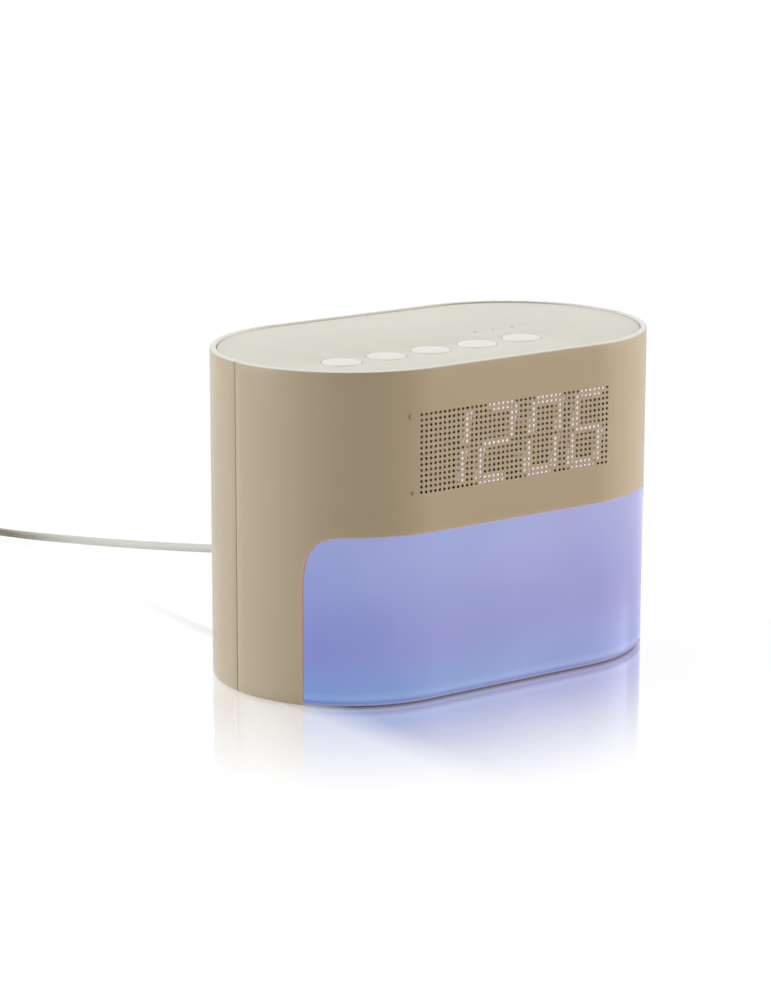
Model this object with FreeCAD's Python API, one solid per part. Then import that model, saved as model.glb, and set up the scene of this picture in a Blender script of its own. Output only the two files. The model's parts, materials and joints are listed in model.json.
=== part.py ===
import FreeCAD, Part

import math
import os

# Sunrise alarm clock: an upright housing with rounded ends, a perforated clock display
# over a glowing lamp panel, five buttons in the top and a power lead at the back.
# Millimetres. X runs to the right seen from the front, the front faces -Y, and Z is up
# from the surface that the clock stands on. The origin is under the middle of the body.

# Housing
WIDTH = 180.0
DEPTH = 104.0
HEIGHT = 125.0
FOOT_LIFT = 1.0
WALL = 2.4
RIM_ROUND = 0.5
HEM_ROUND = 0.8
SEAM_Y = -1.5
SEAM_GAP = 0.16
LAP_DEPTH = 3.0
LAP_THICK = 1.2
END_CENTRE = (WIDTH - DEPTH) / 2
END_RADIUS = DEPTH / 2

# Top panel, let into the rim
PANEL_DROP = 0.65
PANEL_THICK = 2.2
PANEL_GAP = 0.25
LEDGE_WIDTH = 1.8
LEDGE_THICK = 2.0
PANEL_TOP = HEIGHT - PANEL_DROP
LEDGE_TOP = PANEL_TOP - PANEL_THICK

# Base plate, feet and screws
PLATE_RECESS = 0.5
PLATE_THICK = 2.5
PLATE_GAP = 0.15
PLATE_BOTTOM = FOOT_LIFT + PLATE_RECESS
PLATE_TOP = PLATE_BOTTOM + PLATE_THICK
FOOT_RADIUS = 7.0
FOOT_X = 58.0
FOOT_Y = 32.0
SCREW_RADIUS = 1.5
SCREW_CLEARANCE = 0.1
SCREW_HEAD_RADIUS = 2.8
SCREW_HEAD_THICK = 1.4
SCREW_HEAD_SINK = 0.2
SCREW_LENGTH = 9.0
BOSS_RADIUS = 3.5
BOSS_HEIGHT = 12.0
BOSS_INSET = 5.0
FRONT_BOSS_ANGLE = -18.0
REAR_BOSS_ANGLE = 50.0

# Perforated display field in the front wall
DOT_COLUMNS = 43
DOT_ROWS = 15
DOT_PITCH = 2.055
DOT_WIDTH = 0.95
DOT_MIDDLE_Z = HEIGHT - 31.25
DOT_MIDDLE_X = 0.35
FIELD_WALL = 0.8
FIELD_MARGIN = 3.2

# Display module behind the field
MODULE_SETBACK = 3.4
MODULE_DEPTH = 7.0
BAFFLE_WIDTH = 2.2
DIGIT_CENTRES = (-31.6, -10.7, 11.3, 32.0)
DIGIT_WIDTH = 12.7
DIGIT_HEIGHT = 29.3
DIGIT_MIDDLE_Z = DOT_MIDDLE_Z - 0.95
DIGIT_SLANT = 8.7
SEGMENT_WIDTH = 2.6
SEGMENT_GAP = 0.5
SEGMENT_DEPTH = 1.0
COLON_X = 0.4
COLON_RISE = 6.2
BOARD_THICK = 1.6
DISPLAY_BOARD_MARGIN = 5.0
POST_SIZE = 5.0
RAIL_THICK = 2.0

# Lamp window and diffuser. The window is a cut-out that runs round the front from one
# end to the other and down to the hem, with a soft upper corner at each end.
LAMP_TOP = HEIGHT - 61.0
LAMP_ANGLE = 54.4
CORNER_WIDE = 16.5
CORNER_TALL = 22.5
CORNER_PULL_WIDE = 4.0
CORNER_PULL_TALL = 4.3
LAMP_GAP = 0.12
LAMP_INSET = 0.2
LAMP_HEM_ROUND = 1.6
FLANGE_THICK = 1.6
FLANGE_WIDTH = 3.0
REFLECTOR_THICK = 1.5
REFLECTOR_BACK = 32.0 - END_RADIUS
INNER_GAP = 0.3
LAMP_BOARD_LENGTH = 120.0
LAMP_BOARD_WIDTH = 13.0
LAMP_BOARD_Y = 19.0 - END_RADIUS
LAMP_BOARD_LIFT = 1.5
LED_COUNT = 12
LED_SIZE = 5.0
LED_HEIGHT = 1.6

# Buttons and the board below them
BUTTON_XS = (-57.8, -37.8, -17.6, 3.8, 25.0)
BUTTON_Y = 29.0 - END_RADIUS
BUTTON_RADIUS = 7.45
BUTTON_GAP = 0.2
BUTTON_PROUD = 0.25
BUTTON_ROUND = 0.4
BUTTON_FLANGE = 1.2
BUTTON_FLANGE_THICK = 1.0
BUTTON_REST_GAP = 0.1
BUTTON_STEM_RADIUS = 2.0
BUTTON_TRAVEL = 0.9
PLUNGER_SIZE = 3.0
PLUNGER_GAP = 0.1
PLUNGER_SHOWS = 1.5
PLUNGER_HIDDEN = 1.1
SWITCH_SIZE = 6.0
SWITCH_HEIGHT = 3.5
BUTTON_BOARD_DROP = 7.55
BUTTON_BOARD_MARGIN = 10.0
BUTTON_BOARD_FRONT = BUTTON_Y - 11.0
BUTTON_BOARD_BACK = BUTTON_Y + 27.0
INDICATOR_XS = (17.0, 27.0, 37.0)
INDICATOR_Y = BUTTON_Y + 19.0
PIPE_RADIUS = 0.55
PIPE_GAP = 0.05
PIPE_SINK = 0.05
CHIP_SIZE = 1.6
CHIP_HEIGHT = 0.8

# Main board and its components
MAIN_BOARD_LENGTH = 84.0
MAIN_BOARD_WIDTH = 34.0
MAIN_BOARD_Y = END_RADIUS - 33.0
MAIN_BOARD_LIFT = 6.0
CHIP_THICK = 1.2
PROCESSOR_SIZE = 12.0
AMPLIFIER_SIZE = 7.0
AMPLIFIER_PLACE = 0.21
CAPACITOR_RADIUS = 4.0
CAPACITOR_HEIGHT = 9.0
CAPACITOR_PLACES = (-0.37, -0.26)
SOCKET_WIDTH = 8.0
SOCKET_DEPTH = 5.0
SOCKET_HEIGHT = 6.0
SOCKET_PLACES = (-0.4, -0.26, 0.28, 0.4)
BOARD_EDGE = 2.0

# Loudspeaker, facing the back
SPEAKER_X = 0.0
SPEAKER_Z = HEIGHT - 49.0
SPEAKER_RADIUS = 25.0
SPEAKER_RING_THICK = 1.6
SPEAKER_RING_DEPTH = 6.0
GASKET_THICK = 1.5
GASKET_WIDTH = 4.0
SPEAKER_DEPTH = 20.0
MAGNET_RADIUS = 15.0
MAGNET_DEPTH = 8.0
BASKET_THICK = 1.2
BASKET_FLANGE_WIDTH = 2.5
BASKET_HOLE_RADIUS = 5.0
CONE_THICK = 0.8
CONE_GAP = 0.2
SURROUND_WIDTH = 3.0
DUST_CAP_RISE = 1.5
COIL_FORMER_LENGTH = 2.4
COIL_FORMER_RADIUS = 6.5
GRILLE_HOLE_RADIUS = 1.3
GRILLE_RINGS = 4
GRILLE_RING_PITCH = 5.0

# Power lead
CORD_DIAMETER = 3.5
CORD_SIDES = 6
EXIT_X = -11.0
EXIT_Z = 23.0
RELIEF_LENGTH = 18.0
RELIEF_ROOT_RADIUS = 4.2
RELIEF_TIP_RADIUS = 2.5
RELIEF_FLANGE_RADIUS = 5.6
RELIEF_FLANGE_THICK = 1.6
RELIEF_NECK_RADIUS = 3.6
RELIEF_GROOVES = 4
RELIEF_GROOVE_DEPTH = 0.6

# The lead's route after the strain relief: back from the housing, sinking to the floor,
# to the coil that holds the rest of its length.
CORD_ROUTE = (
    (-11.0, 84.0, 23.0),
    (-13.6, 104.0, 21.2),
    (-19.9, 125.0, 18.3),
    (-25.6, 151.0, 14.6),
    (-30.6, 187.5, 9.4),
    (-34.6, 219.0, 5.2),
    (-38.6, 239.0, 2.9),
)
CORD_LAST_RUN = 18.0
COIL_ENTRY = (-56.6, 277.0)
COIL_HEADING = 24.5
COIL_INNER_RADIUS = 15.0
COIL_PITCH = 5.2
COIL_LAYER = 4.6
COIL_HALF_TURNS = 4
COIL_LAYERS = 4
TIE_THICK = 0.5
TIE_WIDTH = 6.0
TIE_CLEAR = 0.3
TIE_ROUND = 1.8
TIE_ANGLE = 225.0

# Plug on the end of the lead, lying on the coil
PLUG_START_Y = 15.0
PLUG_REST_GAP = 0.2
PLUG_TAIL = 7.0
PLUG_TAIL_RADIUS = 3.0
PLUG_TAIL_LIP = 0.4
PLUG_BODY_LENGTH = 18.0
PLUG_BODY_WIDTH = 15.5
PLUG_BODY_THICK = 8.0
PLUG_BODY_ROUND = 2.0
PLUG_SHELL_LENGTH = 12.0
PLUG_SHELL_WIDTH = 12.0
PLUG_SHELL_THICK = 4.5
PLUG_SHELL_WALL = 0.35
PLUG_TONGUE_THICK = 1.8
PLUG_TONGUE_GAP = 0.6

JOIN_OVERLAP = 0.5
FAR = 300.0


def vec(x, y, z):
    return FreeCAD.Vector(x, y, z)


def span_box(x0, x1, y0, y1, z0, z1):
    return Part.makeBox(x1 - x0, y1 - y0, z1 - z0, vec(x0, y0, z0))


def disc(x, y, radius, z0, z1):
    return Part.makeCylinder(radius, z1 - z0, vec(x, y, z0))


def polygon_prism(points, push):
    """Prism over a closed outline of straight sides."""
    outline = Part.makePolygon(list(points) + [points[0]])
    return Part.Face(outline).extrude(push)


def hexagon(middle, radius, up):
    """Corners of a six-sided outline in the plane of X and the given direction."""
    corners = []
    for side in range(6):
        turn = math.pi * side / 3
        across = vec(radius * math.cos(turn), 0, 0)
        corners.append(middle + across + up * (radius * math.sin(turn)))
    return corners


def pin(x, y, radius, z0, z1):
    """Upright six-sided rod."""
    corners = hexagon(vec(x, y, z0), radius, vec(0, 1, 0))
    return polygon_prism(corners, vec(0, 0, z1 - z0))


def square_post(x, y, size, z0, z1):
    half = size / 2
    return span_box(x - half, x + half, y - half, y + half, z0, z1)


def fuse_all(shapes):
    return shapes[0].multiFuse(shapes[1:]).removeSplitter()


def stadium(inset, bottom, top):
    """Prism over the body's outline, moved inwards by inset."""
    radius = END_RADIUS - inset
    front_left = vec(-END_CENTRE, -radius, bottom)
    front_right = vec(END_CENTRE, -radius, bottom)
    back_right = vec(END_CENTRE, radius, bottom)
    back_left = vec(-END_CENTRE, radius, bottom)
    right_tip = vec(END_CENTRE + radius, 0, bottom)
    left_tip = vec(-END_CENTRE - radius, 0, bottom)
    edges = [
        Part.LineSegment(front_left, front_right).toShape(),
        Part.Arc(front_right, right_tip, back_right).toShape(),
        Part.LineSegment(back_right, back_left).toShape(),
        Part.Arc(back_left, left_tip, front_left).toShape(),
    ]
    return Part.Face(Part.Wire(edges)).extrude(vec(0, 0, top - bottom))


def stadium_ring(outer_inset, inner_inset, bottom, top):
    hole = stadium(inner_inset, bottom - 1, top + 1)
    return stadium(outer_inset, bottom, top).cut(hole)


def edges_at(shape, z):
    """Edges that lie flat at one height."""
    found = []
    for edge in shape.Edges:
        box = edge.BoundBox
        if abs(box.ZMin - z) < 1e-4 and abs(box.ZMax - z) < 1e-4:
            found.append(edge)
    return found


def edges_along_y(shape):
    return [edge for edge in shape.Edges if abs(edge.tangentAt(edge.FirstParameter).y) > 0.99]


def rounded_body(inset, bottom, top, hem_round, rim_round):
    """Body prism with its bottom and top edges rounded."""
    solid = stadium(inset, bottom, top)
    solid = solid.makeFillet(hem_round, edges_at(solid, bottom))
    if rim_round > 0:
        solid = solid.makeFillet(rim_round, edges_at(solid, top))
    return solid


def end_point(side, radius, angle):
    """Point on an end's curve. The angle is 0 at the side's tip and 90 at the back."""
    turn = math.radians(angle)
    x = END_CENTRE + radius * math.cos(turn)
    return side * x, radius * math.sin(turn)


# Housing shells


def shell_ring():
    solid = rounded_body(0, FOOT_LIFT, HEIGHT, HEM_ROUND, RIM_ROUND)
    ring = solid.cut(stadium(WALL, FOOT_LIFT - 1, HEIGHT + 1))
    ledge = stadium_ring(WALL, WALL + LEDGE_WIDTH, LEDGE_TOP - LEDGE_THICK, LEDGE_TOP)
    return ring.fuse(ledge)


def boss_places():
    """Screw bosses as (side, angle) pairs, front ones first."""
    angles = (FRONT_BOSS_ANGLE, REAR_BOSS_ANGLE)
    return [(side, angle) for angle in angles for side in (-1, 1)]


def boss_point(side, angle):
    return end_point(side, END_RADIUS - WALL - BOSS_INSET, angle)


def screw_boss(side, angle):
    """Post for a base screw, tied to the wall by a rib, with its pilot hole."""
    x, y = boss_point(side, angle)
    top = PLATE_TOP + BOSS_HEIGHT
    post = disc(x, y, BOSS_RADIUS, PLATE_TOP, top)
    half = RAIL_THICK / 2
    rib = span_box(0, BOSS_INSET + WALL / 2, -half, half, PLATE_TOP, top)
    turn = angle if side > 0 else 180 - angle
    rib.rotate(vec(0, 0, 0), vec(0, 0, 1), turn)
    rib.translate(vec(x, y, 0))
    pilot = disc(x, y, SCREW_RADIUS, PLATE_TOP - 1, PLATE_TOP + SCREW_LENGTH)
    return post.fuse(rib).cut(pilot)


def field_half_width():
    return DOT_PITCH * (DOT_COLUMNS - 1) / 2 + FIELD_MARGIN


def field_half_height():
    return DOT_PITCH * (DOT_ROWS - 1) / 2 + FIELD_MARGIN


def field_pocket():
    """Space that thins the wall behind the perforation."""
    across = field_half_width()
    up = field_half_height()
    low = DOT_MIDDLE_Z - up
    high = DOT_MIDDLE_Z + up
    reach = span_box(-across, across, -END_RADIUS, -END_RADIUS + 2 * WALL, low, high)
    return stadium(FIELD_WALL, low, high).common(reach)


def dot_hole(along, z):
    """One hole of the perforation, square to the wall at a distance along it."""
    half = DOT_WIDTH / 2
    depth = FIELD_WALL + 1.0
    start = -END_RADIUS - 0.5
    hole = span_box(-half, half, start, start + depth, z - half, z + half)
    past = abs(along) - END_CENTRE
    if past <= 0:
        hole.translate(vec(along, 0, 0))
        return hole
    side = math.copysign(1, along)
    hole.rotate(vec(0, 0, 0), vec(0, 0, 1), side * math.degrees(past / END_RADIUS))
    hole.translate(vec(side * END_CENTRE, 0, 0))
    return hole


def dot_holes():
    holes = []
    for column in range(DOT_COLUMNS):
        along = DOT_MIDDLE_X + (column - (DOT_COLUMNS - 1) / 2) * DOT_PITCH
        for row in range(DOT_ROWS):
            z = DOT_MIDDLE_Z + (row - (DOT_ROWS - 1) / 2) * DOT_PITCH
            holes.append(dot_hole(along, z))
    return Part.makeCompound(holes)


def board_posts():
    """Posts on the front wall that carry the display board."""
    outer = module_half_width() + DISPLAY_BOARD_MARGIN
    inner = outer - POST_SIZE
    inside_wall = stadium(WALL / 2, 0, HEIGHT)
    posts = []
    for low in (module_low(), module_high() - POST_SIZE):
        for x0, x1 in ((-outer, -inner), (inner, outer)):
            post = span_box(x0, x1, -END_RADIUS, module_back(), low, low + POST_SIZE)
            posts.append(post.common(inside_wall))
    return posts


def front_shell():
    keep = span_box(-FAR, FAR, -FAR, SEAM_Y - SEAM_GAP / 2, -1, FAR)
    shell = shell_ring().common(keep)
    bosses = [screw_boss(side, FRONT_BOSS_ANGLE) for side in (-1, 1)]
    shell = fuse_all([shell] + bosses + board_posts())
    shell = shell.cut(lamp_window(0, -1)).cut(field_pocket())
    return shell.cut(dot_holes())


def seam_lap():
    """Lip on the rear shell that slides into the front shell."""
    low = PLATE_TOP + 2
    high = LEDGE_TOP - LEDGE_THICK - INNER_GAP
    ring = stadium_ring(WALL, WALL + LAP_THICK, low, high)
    return ring.common(span_box(-FAR, FAR, SEAM_Y - LAP_DEPTH, SEAM_Y + 4, low, high))


def speaker_ring():
    """Round wall that locates the loudspeaker on the rear shell."""
    inner = SPEAKER_RADIUS + INNER_GAP
    outer = inner + SPEAKER_RING_THICK
    start = vec(SPEAKER_X, END_RADIUS - WALL - SPEAKER_RING_DEPTH, SPEAKER_Z)
    length = SPEAKER_RING_DEPTH + WALL / 2
    ring = Part.makeCylinder(outer, length, start, vec(0, 1, 0))
    bore = Part.makeCylinder(inner, SPEAKER_RING_DEPTH, start, vec(0, 1, 0))
    return ring.cut(bore)


def grille_holes():
    """Rings of six-sided holes through the rear wall, behind the loudspeaker."""
    holes = []
    for ring in range(GRILLE_RINGS):
        count = max(1, 6 * ring)
        for step in range(count):
            turn = 2 * math.pi * step / count
            x = SPEAKER_X + ring * GRILLE_RING_PITCH * math.cos(turn)
            z = SPEAKER_Z + ring * GRILLE_RING_PITCH * math.sin(turn)
            corners = hexagon(vec(x, END_RADIUS - WALL - 1, z), GRILLE_HOLE_RADIUS, vec(0, 0, 1))
            holes.append(polygon_prism(corners, vec(0, WALL + 2, 0)))
    return Part.makeCompound(holes)


def relief_hole():
    start = vec(EXIT_X, END_RADIUS - WALL - 1, EXIT_Z)
    return Part.makeCylinder(RELIEF_NECK_RADIUS, WALL + 2, start, vec(0, 1, 0))


def rear_shell():
    keep = span_box(-FAR, FAR, SEAM_Y + SEAM_GAP / 2, FAR, -1, FAR)
    shell = shell_ring().common(keep)
    bosses = [screw_boss(side, REAR_BOSS_ANGLE) for side in (-1, 1)]
    shell = fuse_all([shell, seam_lap(), speaker_ring()] + bosses)
    return shell.cut(grille_holes()).cut(relief_hole())


# Top panel, base and feet


def top_panel():
    panel = stadium(WALL + PANEL_GAP, LEDGE_TOP, PANEL_TOP)
    below = LEDGE_TOP - 1
    button_hole = BUTTON_RADIUS + BUTTON_GAP
    pipe_hole = PIPE_RADIUS + PIPE_GAP
    holes = [disc(x, BUTTON_Y, button_hole, below, HEIGHT) for x in BUTTON_XS]
    holes += [pin(x, INDICATOR_Y, pipe_hole, below, HEIGHT) for x in INDICATOR_XS]
    panel = panel.cut(Part.makeCompound(holes))
    top = button_board_top()
    posts = [square_post(x, y, POST_SIZE, top, LEDGE_TOP) for x, y in button_post_places()]
    return fuse_all([panel] + posts)


def foot_places():
    return [(sx * FOOT_X, sy * FOOT_Y) for sx in (-1, 1) for sy in (-1, 1)]


def base_plate():
    """Plate with sunk screw holes and the rails that carry the lamp and main boards."""
    plate = stadium(WALL + PLATE_GAP, PLATE_BOTTOM, PLATE_TOP)
    holes = []
    for side, angle in boss_places():
        x, y = boss_point(side, angle)
        head_radius = SCREW_HEAD_RADIUS + SCREW_CLEARANCE
        holes.append(disc(x, y, SCREW_RADIUS + SCREW_CLEARANCE, PLATE_BOTTOM - 1, PLATE_TOP + 1))
        holes.append(disc(x, y, head_radius, PLATE_BOTTOM - 1, screw_head_top()))
    for hole in holes:
        plate = plate.cut(hole)
    return fuse_all([plate] + lamp_board_rails() + main_board_rails())


def screw_head_top():
    return PLATE_BOTTOM + SCREW_HEAD_SINK + SCREW_HEAD_THICK


def feet():
    pads = [disc(x, y, FOOT_RADIUS, 0, PLATE_BOTTOM) for x, y in foot_places()]
    return Part.makeCompound(pads)


def base_screws():
    screws = []
    for side, angle in boss_places():
        x, y = boss_point(side, angle)
        top = screw_head_top()
        head = disc(x, y, SCREW_HEAD_RADIUS, PLATE_BOTTOM + SCREW_HEAD_SINK, top)
        shank = disc(x, y, SCREW_RADIUS, top, top + SCREW_LENGTH - SCREW_HEAD_THICK)
        screws.append(head.fuse(shank))
    return Part.makeCompound(screws)


# Lamp


def corner_outline(grow):
    """Upper corner of the lamp window in the plane that faces its side edge."""
    top = LAMP_TOP + grow
    inner = vec(-CORNER_WIDE, 0, top)
    inner_pull = vec(grow - CORNER_PULL_WIDE, 0, top)
    outer_pull = vec(grow, 0, top - CORNER_PULL_TALL)
    outer = vec(grow, 0, top - CORNER_TALL)
    curve = Part.BezierCurve()
    curve.setPoles([inner, inner_pull, outer_pull, outer])
    below_outer = vec(grow, 0, -FAR)
    below_inner = vec(-CORNER_WIDE, 0, -FAR)
    edges = [
        curve.toShape(),
        Part.LineSegment(outer, below_outer).toShape(),
        Part.LineSegment(below_outer, below_inner).toShape(),
        Part.LineSegment(below_inner, inner).toShape(),
    ]
    return Part.Wire(edges)


def lamp_corner(side, grow):
    """The window's side strip with its soft corner, cut square to the wall at its edge."""
    face = Part.Face(corner_outline(grow))
    strip = face.extrude(vec(0, -END_RADIUS, 0))
    strip.translate(vec(0, -END_RADIUS / 2, 0))
    strip.rotate(vec(0, 0, 0), vec(0, 0, 1), LAMP_ANGLE)
    strip.translate(vec(END_CENTRE, 0, 0))
    if side < 0:
        return strip.mirror(vec(0, 0, 0), vec(1, 0, 0))
    return strip


def lamp_sector(grow, bottom):
    """The window between its two side strips."""
    turn = math.radians(LAMP_ANGLE) - math.asin((CORNER_WIDE - JOIN_OVERLAP) / END_RADIUS)
    out_x = END_CENTRE + 2 * END_RADIUS * math.sin(turn)
    out_y = -2 * END_RADIUS * math.cos(turn)
    corners = [
        vec(-END_CENTRE, 0, bottom),
        vec(-out_x, out_y, bottom),
        vec(out_x, out_y, bottom),
        vec(END_CENTRE, 0, bottom),
    ]
    return polygon_prism(corners, vec(0, 0, LAMP_TOP + grow - bottom))


def lamp_window(grow, bottom):
    """The space of the lamp window, with its edges moved outwards by grow."""
    strips = [lamp_corner(side, grow) for side in (-1, 1)]
    low = span_box(-FAR, FAR, -FAR, FAR, bottom, FAR)
    return lamp_sector(grow, bottom).multiFuse(strips).common(low)


def lamp_diffuser():
    """Translucent panel that fills the window, with a flange behind the window's edge."""
    skin = rounded_body(LAMP_INSET, FOOT_LIFT, HEIGHT, LAMP_HEM_ROUND, 0)
    skin = skin.cut(stadium(WALL, FOOT_LIFT - 1, HEIGHT))
    skin = skin.common(lamp_window(-LAMP_GAP, 0))
    flange = stadium_ring(WALL, WALL + FLANGE_THICK, PLATE_TOP + INNER_GAP, HEIGHT)
    flange = flange.common(lamp_window(FLANGE_WIDTH, 0))
    return fuse_all([skin, flange])


def lamp_reflector():
    """White scoop that closes the lamp's space behind, above and at both ends."""
    outer_inset = WALL + FLANGE_THICK + INNER_GAP
    top = LAMP_TOP + FLANGE_WIDTH + REFLECTOR_THICK
    outside = stadium(outer_inset, PLATE_TOP, top)
    outside = outside.common(span_box(-FAR, FAR, -FAR, REFLECTOR_BACK, 0, FAR))
    inside = stadium(outer_inset + REFLECTOR_THICK, PLATE_TOP - 1, top - REFLECTOR_THICK)
    back = REFLECTOR_BACK - REFLECTOR_THICK
    inside = inside.common(span_box(-FAR, FAR, -FAR, back, 0, FAR))
    mouth = lamp_sector(top - REFLECTOR_THICK - LAMP_TOP, PLATE_TOP - 1)
    mouth = mouth.common(span_box(-FAR, FAR, -FAR, back, 0, FAR))
    return outside.cut(inside).cut(mouth)


def lamp_board_rails():
    z1 = PLATE_TOP + LAMP_BOARD_LIFT
    half = LAMP_BOARD_WIDTH / 2
    rail = RAIL_THICK / 2
    end = LAMP_BOARD_LENGTH / 2 - POST_SIZE
    rails = []
    for x in (-end, 0, end):
        rails.append(span_box(x - rail, x + rail, LAMP_BOARD_Y - half, LAMP_BOARD_Y + half, PLATE_TOP, z1))
    return rails


def lamp_board():
    half = LAMP_BOARD_LENGTH / 2
    z = PLATE_TOP + LAMP_BOARD_LIFT
    y0 = LAMP_BOARD_Y - LAMP_BOARD_WIDTH / 2
    return span_box(-half, half, y0, y0 + LAMP_BOARD_WIDTH, z, z + BOARD_THICK)


def lamp_leds():
    z = PLATE_TOP + LAMP_BOARD_LIFT + BOARD_THICK
    pitch = (LAMP_BOARD_LENGTH - 2 * LED_SIZE) / (LED_COUNT - 1)
    leds = []
    for step in range(LED_COUNT):
        x = (step - (LED_COUNT - 1) / 2) * pitch
        leds.append(square_post(x, LAMP_BOARD_Y, LED_SIZE, z, z + LED_HEIGHT))
    return Part.makeCompound(leds)


# Display


def module_front():
    return -END_RADIUS + MODULE_SETBACK


def module_back():
    return module_front() + MODULE_DEPTH


def module_half_width():
    return field_half_width() - INNER_GAP


def module_low():
    return DOT_MIDDLE_Z - field_half_height() + INNER_GAP


def module_high():
    return DOT_MIDDLE_Z + field_half_height() - INNER_GAP


def display_baffle():
    """Black frame that keeps the display's light inside the perforated field."""
    half = module_half_width()
    front = -END_RADIUS
    back = module_front()
    frame = span_box(-half, half, front, back, module_low(), module_high())
    inner = half - BAFFLE_WIDTH
    low = module_low() + BAFFLE_WIDTH
    high = module_high() - BAFFLE_WIDTH
    frame = frame.cut(span_box(-inner, inner, front - 1, back + 1, low, high))
    return frame.common(stadium(FIELD_WALL, 0, HEIGHT))


def slant_shift(z):
    return (z - DIGIT_MIDDLE_Z) * math.tan(math.radians(DIGIT_SLANT))


def slanted_prism(points, y0, depth):
    corners = [vec(x + slant_shift(z), y0, z) for x, z in points]
    return polygon_prism(corners, vec(0, depth, 0))


def upright_segment(x, low, high, inwards):
    """Side stroke of a digit, with ends cut back on its inner side."""
    half = SEGMENT_WIDTH / 2
    inner = x + inwards * half
    outer = x - inwards * half
    return [(outer, low), (inner, low + half), (inner, high - half), (outer, high)]


def level_segment(middle, z, upwards):
    """Top or bottom stroke of a digit, shorter on its inner side."""
    half = SEGMENT_WIDTH / 2
    reach = DIGIT_WIDTH / 2 - SEGMENT_GAP
    outer = z + upwards * half
    inner = z - upwards * half
    short = reach - half
    return [(middle - reach, outer), (middle + reach, outer), (middle + short, inner), (middle - short, inner)]


def middle_segment(middle):
    half = SEGMENT_WIDTH / 2
    reach = DIGIT_WIDTH / 2 - SEGMENT_GAP
    z = DIGIT_MIDDLE_Z
    return [
        (middle - reach, z),
        (middle - reach + half, z + half),
        (middle + reach - half, z + half),
        (middle + reach, z),
        (middle + reach - half, z - half),
        (middle - reach + half, z - half),
    ]


def digit_outlines(middle):
    reach = DIGIT_HEIGHT / 2 - SEGMENT_WIDTH / 2
    low = DIGIT_MIDDLE_Z - reach
    high = DIGIT_MIDDLE_Z + reach
    outlines = [level_segment(middle, low, -1), level_segment(middle, high, 1), middle_segment(middle)]
    for side in (-1, 1):
        x = middle + side * DIGIT_WIDTH / 2
        outlines.append(upright_segment(x, low, DIGIT_MIDDLE_Z - SEGMENT_GAP, -side))
        outlines.append(upright_segment(x, DIGIT_MIDDLE_Z + SEGMENT_GAP, high, -side))
    return outlines


def colon_outline(rise):
    half = SEGMENT_WIDTH / 2
    z = DIGIT_MIDDLE_Z + rise
    return [(COLON_X - half, z - half), (COLON_X + half, z - half), (COLON_X + half, z + half), (COLON_X - half, z + half)]


def display_segments():
    """Light guides of the four seven-stroke digits and the colon."""
    outlines = [colon_outline(-COLON_RISE), colon_outline(COLON_RISE)]
    for middle in DIGIT_CENTRES:
        outlines += digit_outlines(middle)
    return Part.makeCompound([slanted_prism(o, module_front(), SEGMENT_DEPTH) for o in outlines])


def display_module():
    half = module_half_width()
    body = span_box(-half, half, module_front(), module_back(), module_low(), module_high())
    return body.cut(display_segments())


def display_board():
    half = module_half_width() + DISPLAY_BOARD_MARGIN
    y = module_back()
    return span_box(-half, half, y, y + BOARD_THICK, module_low(), module_high())


# Buttons


def button_board_top():
    return LEDGE_TOP - BUTTON_BOARD_DROP


def button_board_ends():
    return min(BUTTON_XS) - BUTTON_BOARD_MARGIN, max(INDICATOR_XS) + BUTTON_BOARD_MARGIN


def button_post_places():
    """Two posts at the board's back corners and two between buttons at its front."""
    left, right = button_board_ends()
    inset = POST_SIZE / 2
    back = BUTTON_BOARD_BACK - inset
    front = BUTTON_BOARD_FRONT + inset
    first_gap = (BUTTON_XS[0] + BUTTON_XS[1]) / 2
    last_gap = (BUTTON_XS[-2] + BUTTON_XS[-1]) / 2
    return [(left + inset, back), (right - inset, back), (first_gap, front), (last_gap, front)]


def button(x):
    """Round cap with a retaining flange below the panel and a stem to its switch."""
    top = PANEL_TOP + BUTTON_PROUD
    flange_top = LEDGE_TOP - BUTTON_REST_GAP
    flange_bottom = flange_top - BUTTON_FLANGE_THICK
    foot = button_board_top() + SWITCH_HEIGHT + PLUNGER_SHOWS
    wide = BUTTON_RADIUS + BUTTON_FLANGE
    profile = [
        vec(0, 0, foot),
        vec(BUTTON_STEM_RADIUS, 0, foot),
        vec(BUTTON_STEM_RADIUS, 0, flange_bottom),
        vec(wide, 0, flange_bottom),
        vec(wide, 0, flange_top),
        vec(BUTTON_RADIUS, 0, flange_top),
        vec(BUTTON_RADIUS, 0, top - BUTTON_ROUND),
        vec(BUTTON_RADIUS - BUTTON_ROUND, 0, top),
        vec(0, 0, top),
    ]
    face = Part.Face(Part.makePolygon(profile + [profile[0]]))
    cap = face.revolve(vec(0, 0, 0), vec(0, 0, 1), 360)
    cap.translate(vec(x, BUTTON_Y, 0))
    return cap


def switch_plunger(x):
    top = button_board_top() + SWITCH_HEIGHT + PLUNGER_SHOWS
    return square_post(x, BUTTON_Y, PLUNGER_SIZE, top - PLUNGER_SHOWS - PLUNGER_HIDDEN, top)


def button_switches():
    low = button_board_top()
    high = low + SWITCH_HEIGHT
    well = high - PLUNGER_HIDDEN - BUTTON_TRAVEL - INNER_GAP
    well_size = PLUNGER_SIZE + 2 * PLUNGER_GAP
    bodies = []
    for x in BUTTON_XS:
        body = square_post(x, BUTTON_Y, SWITCH_SIZE, low, high)
        bodies.append(body.cut(square_post(x, BUTTON_Y, well_size, well, high + 1)))
    return Part.makeCompound(bodies)


def button_board():
    left, right = button_board_ends()
    top = button_board_top()
    return span_box(left, right, BUTTON_BOARD_FRONT, BUTTON_BOARD_BACK, top - BOARD_THICK, top)


def indicator_leds():
    low = button_board_top()
    high = low + CHIP_HEIGHT
    return Part.makeCompound([square_post(x, INDICATOR_Y, CHIP_SIZE, low, high) for x in INDICATOR_XS])


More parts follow.
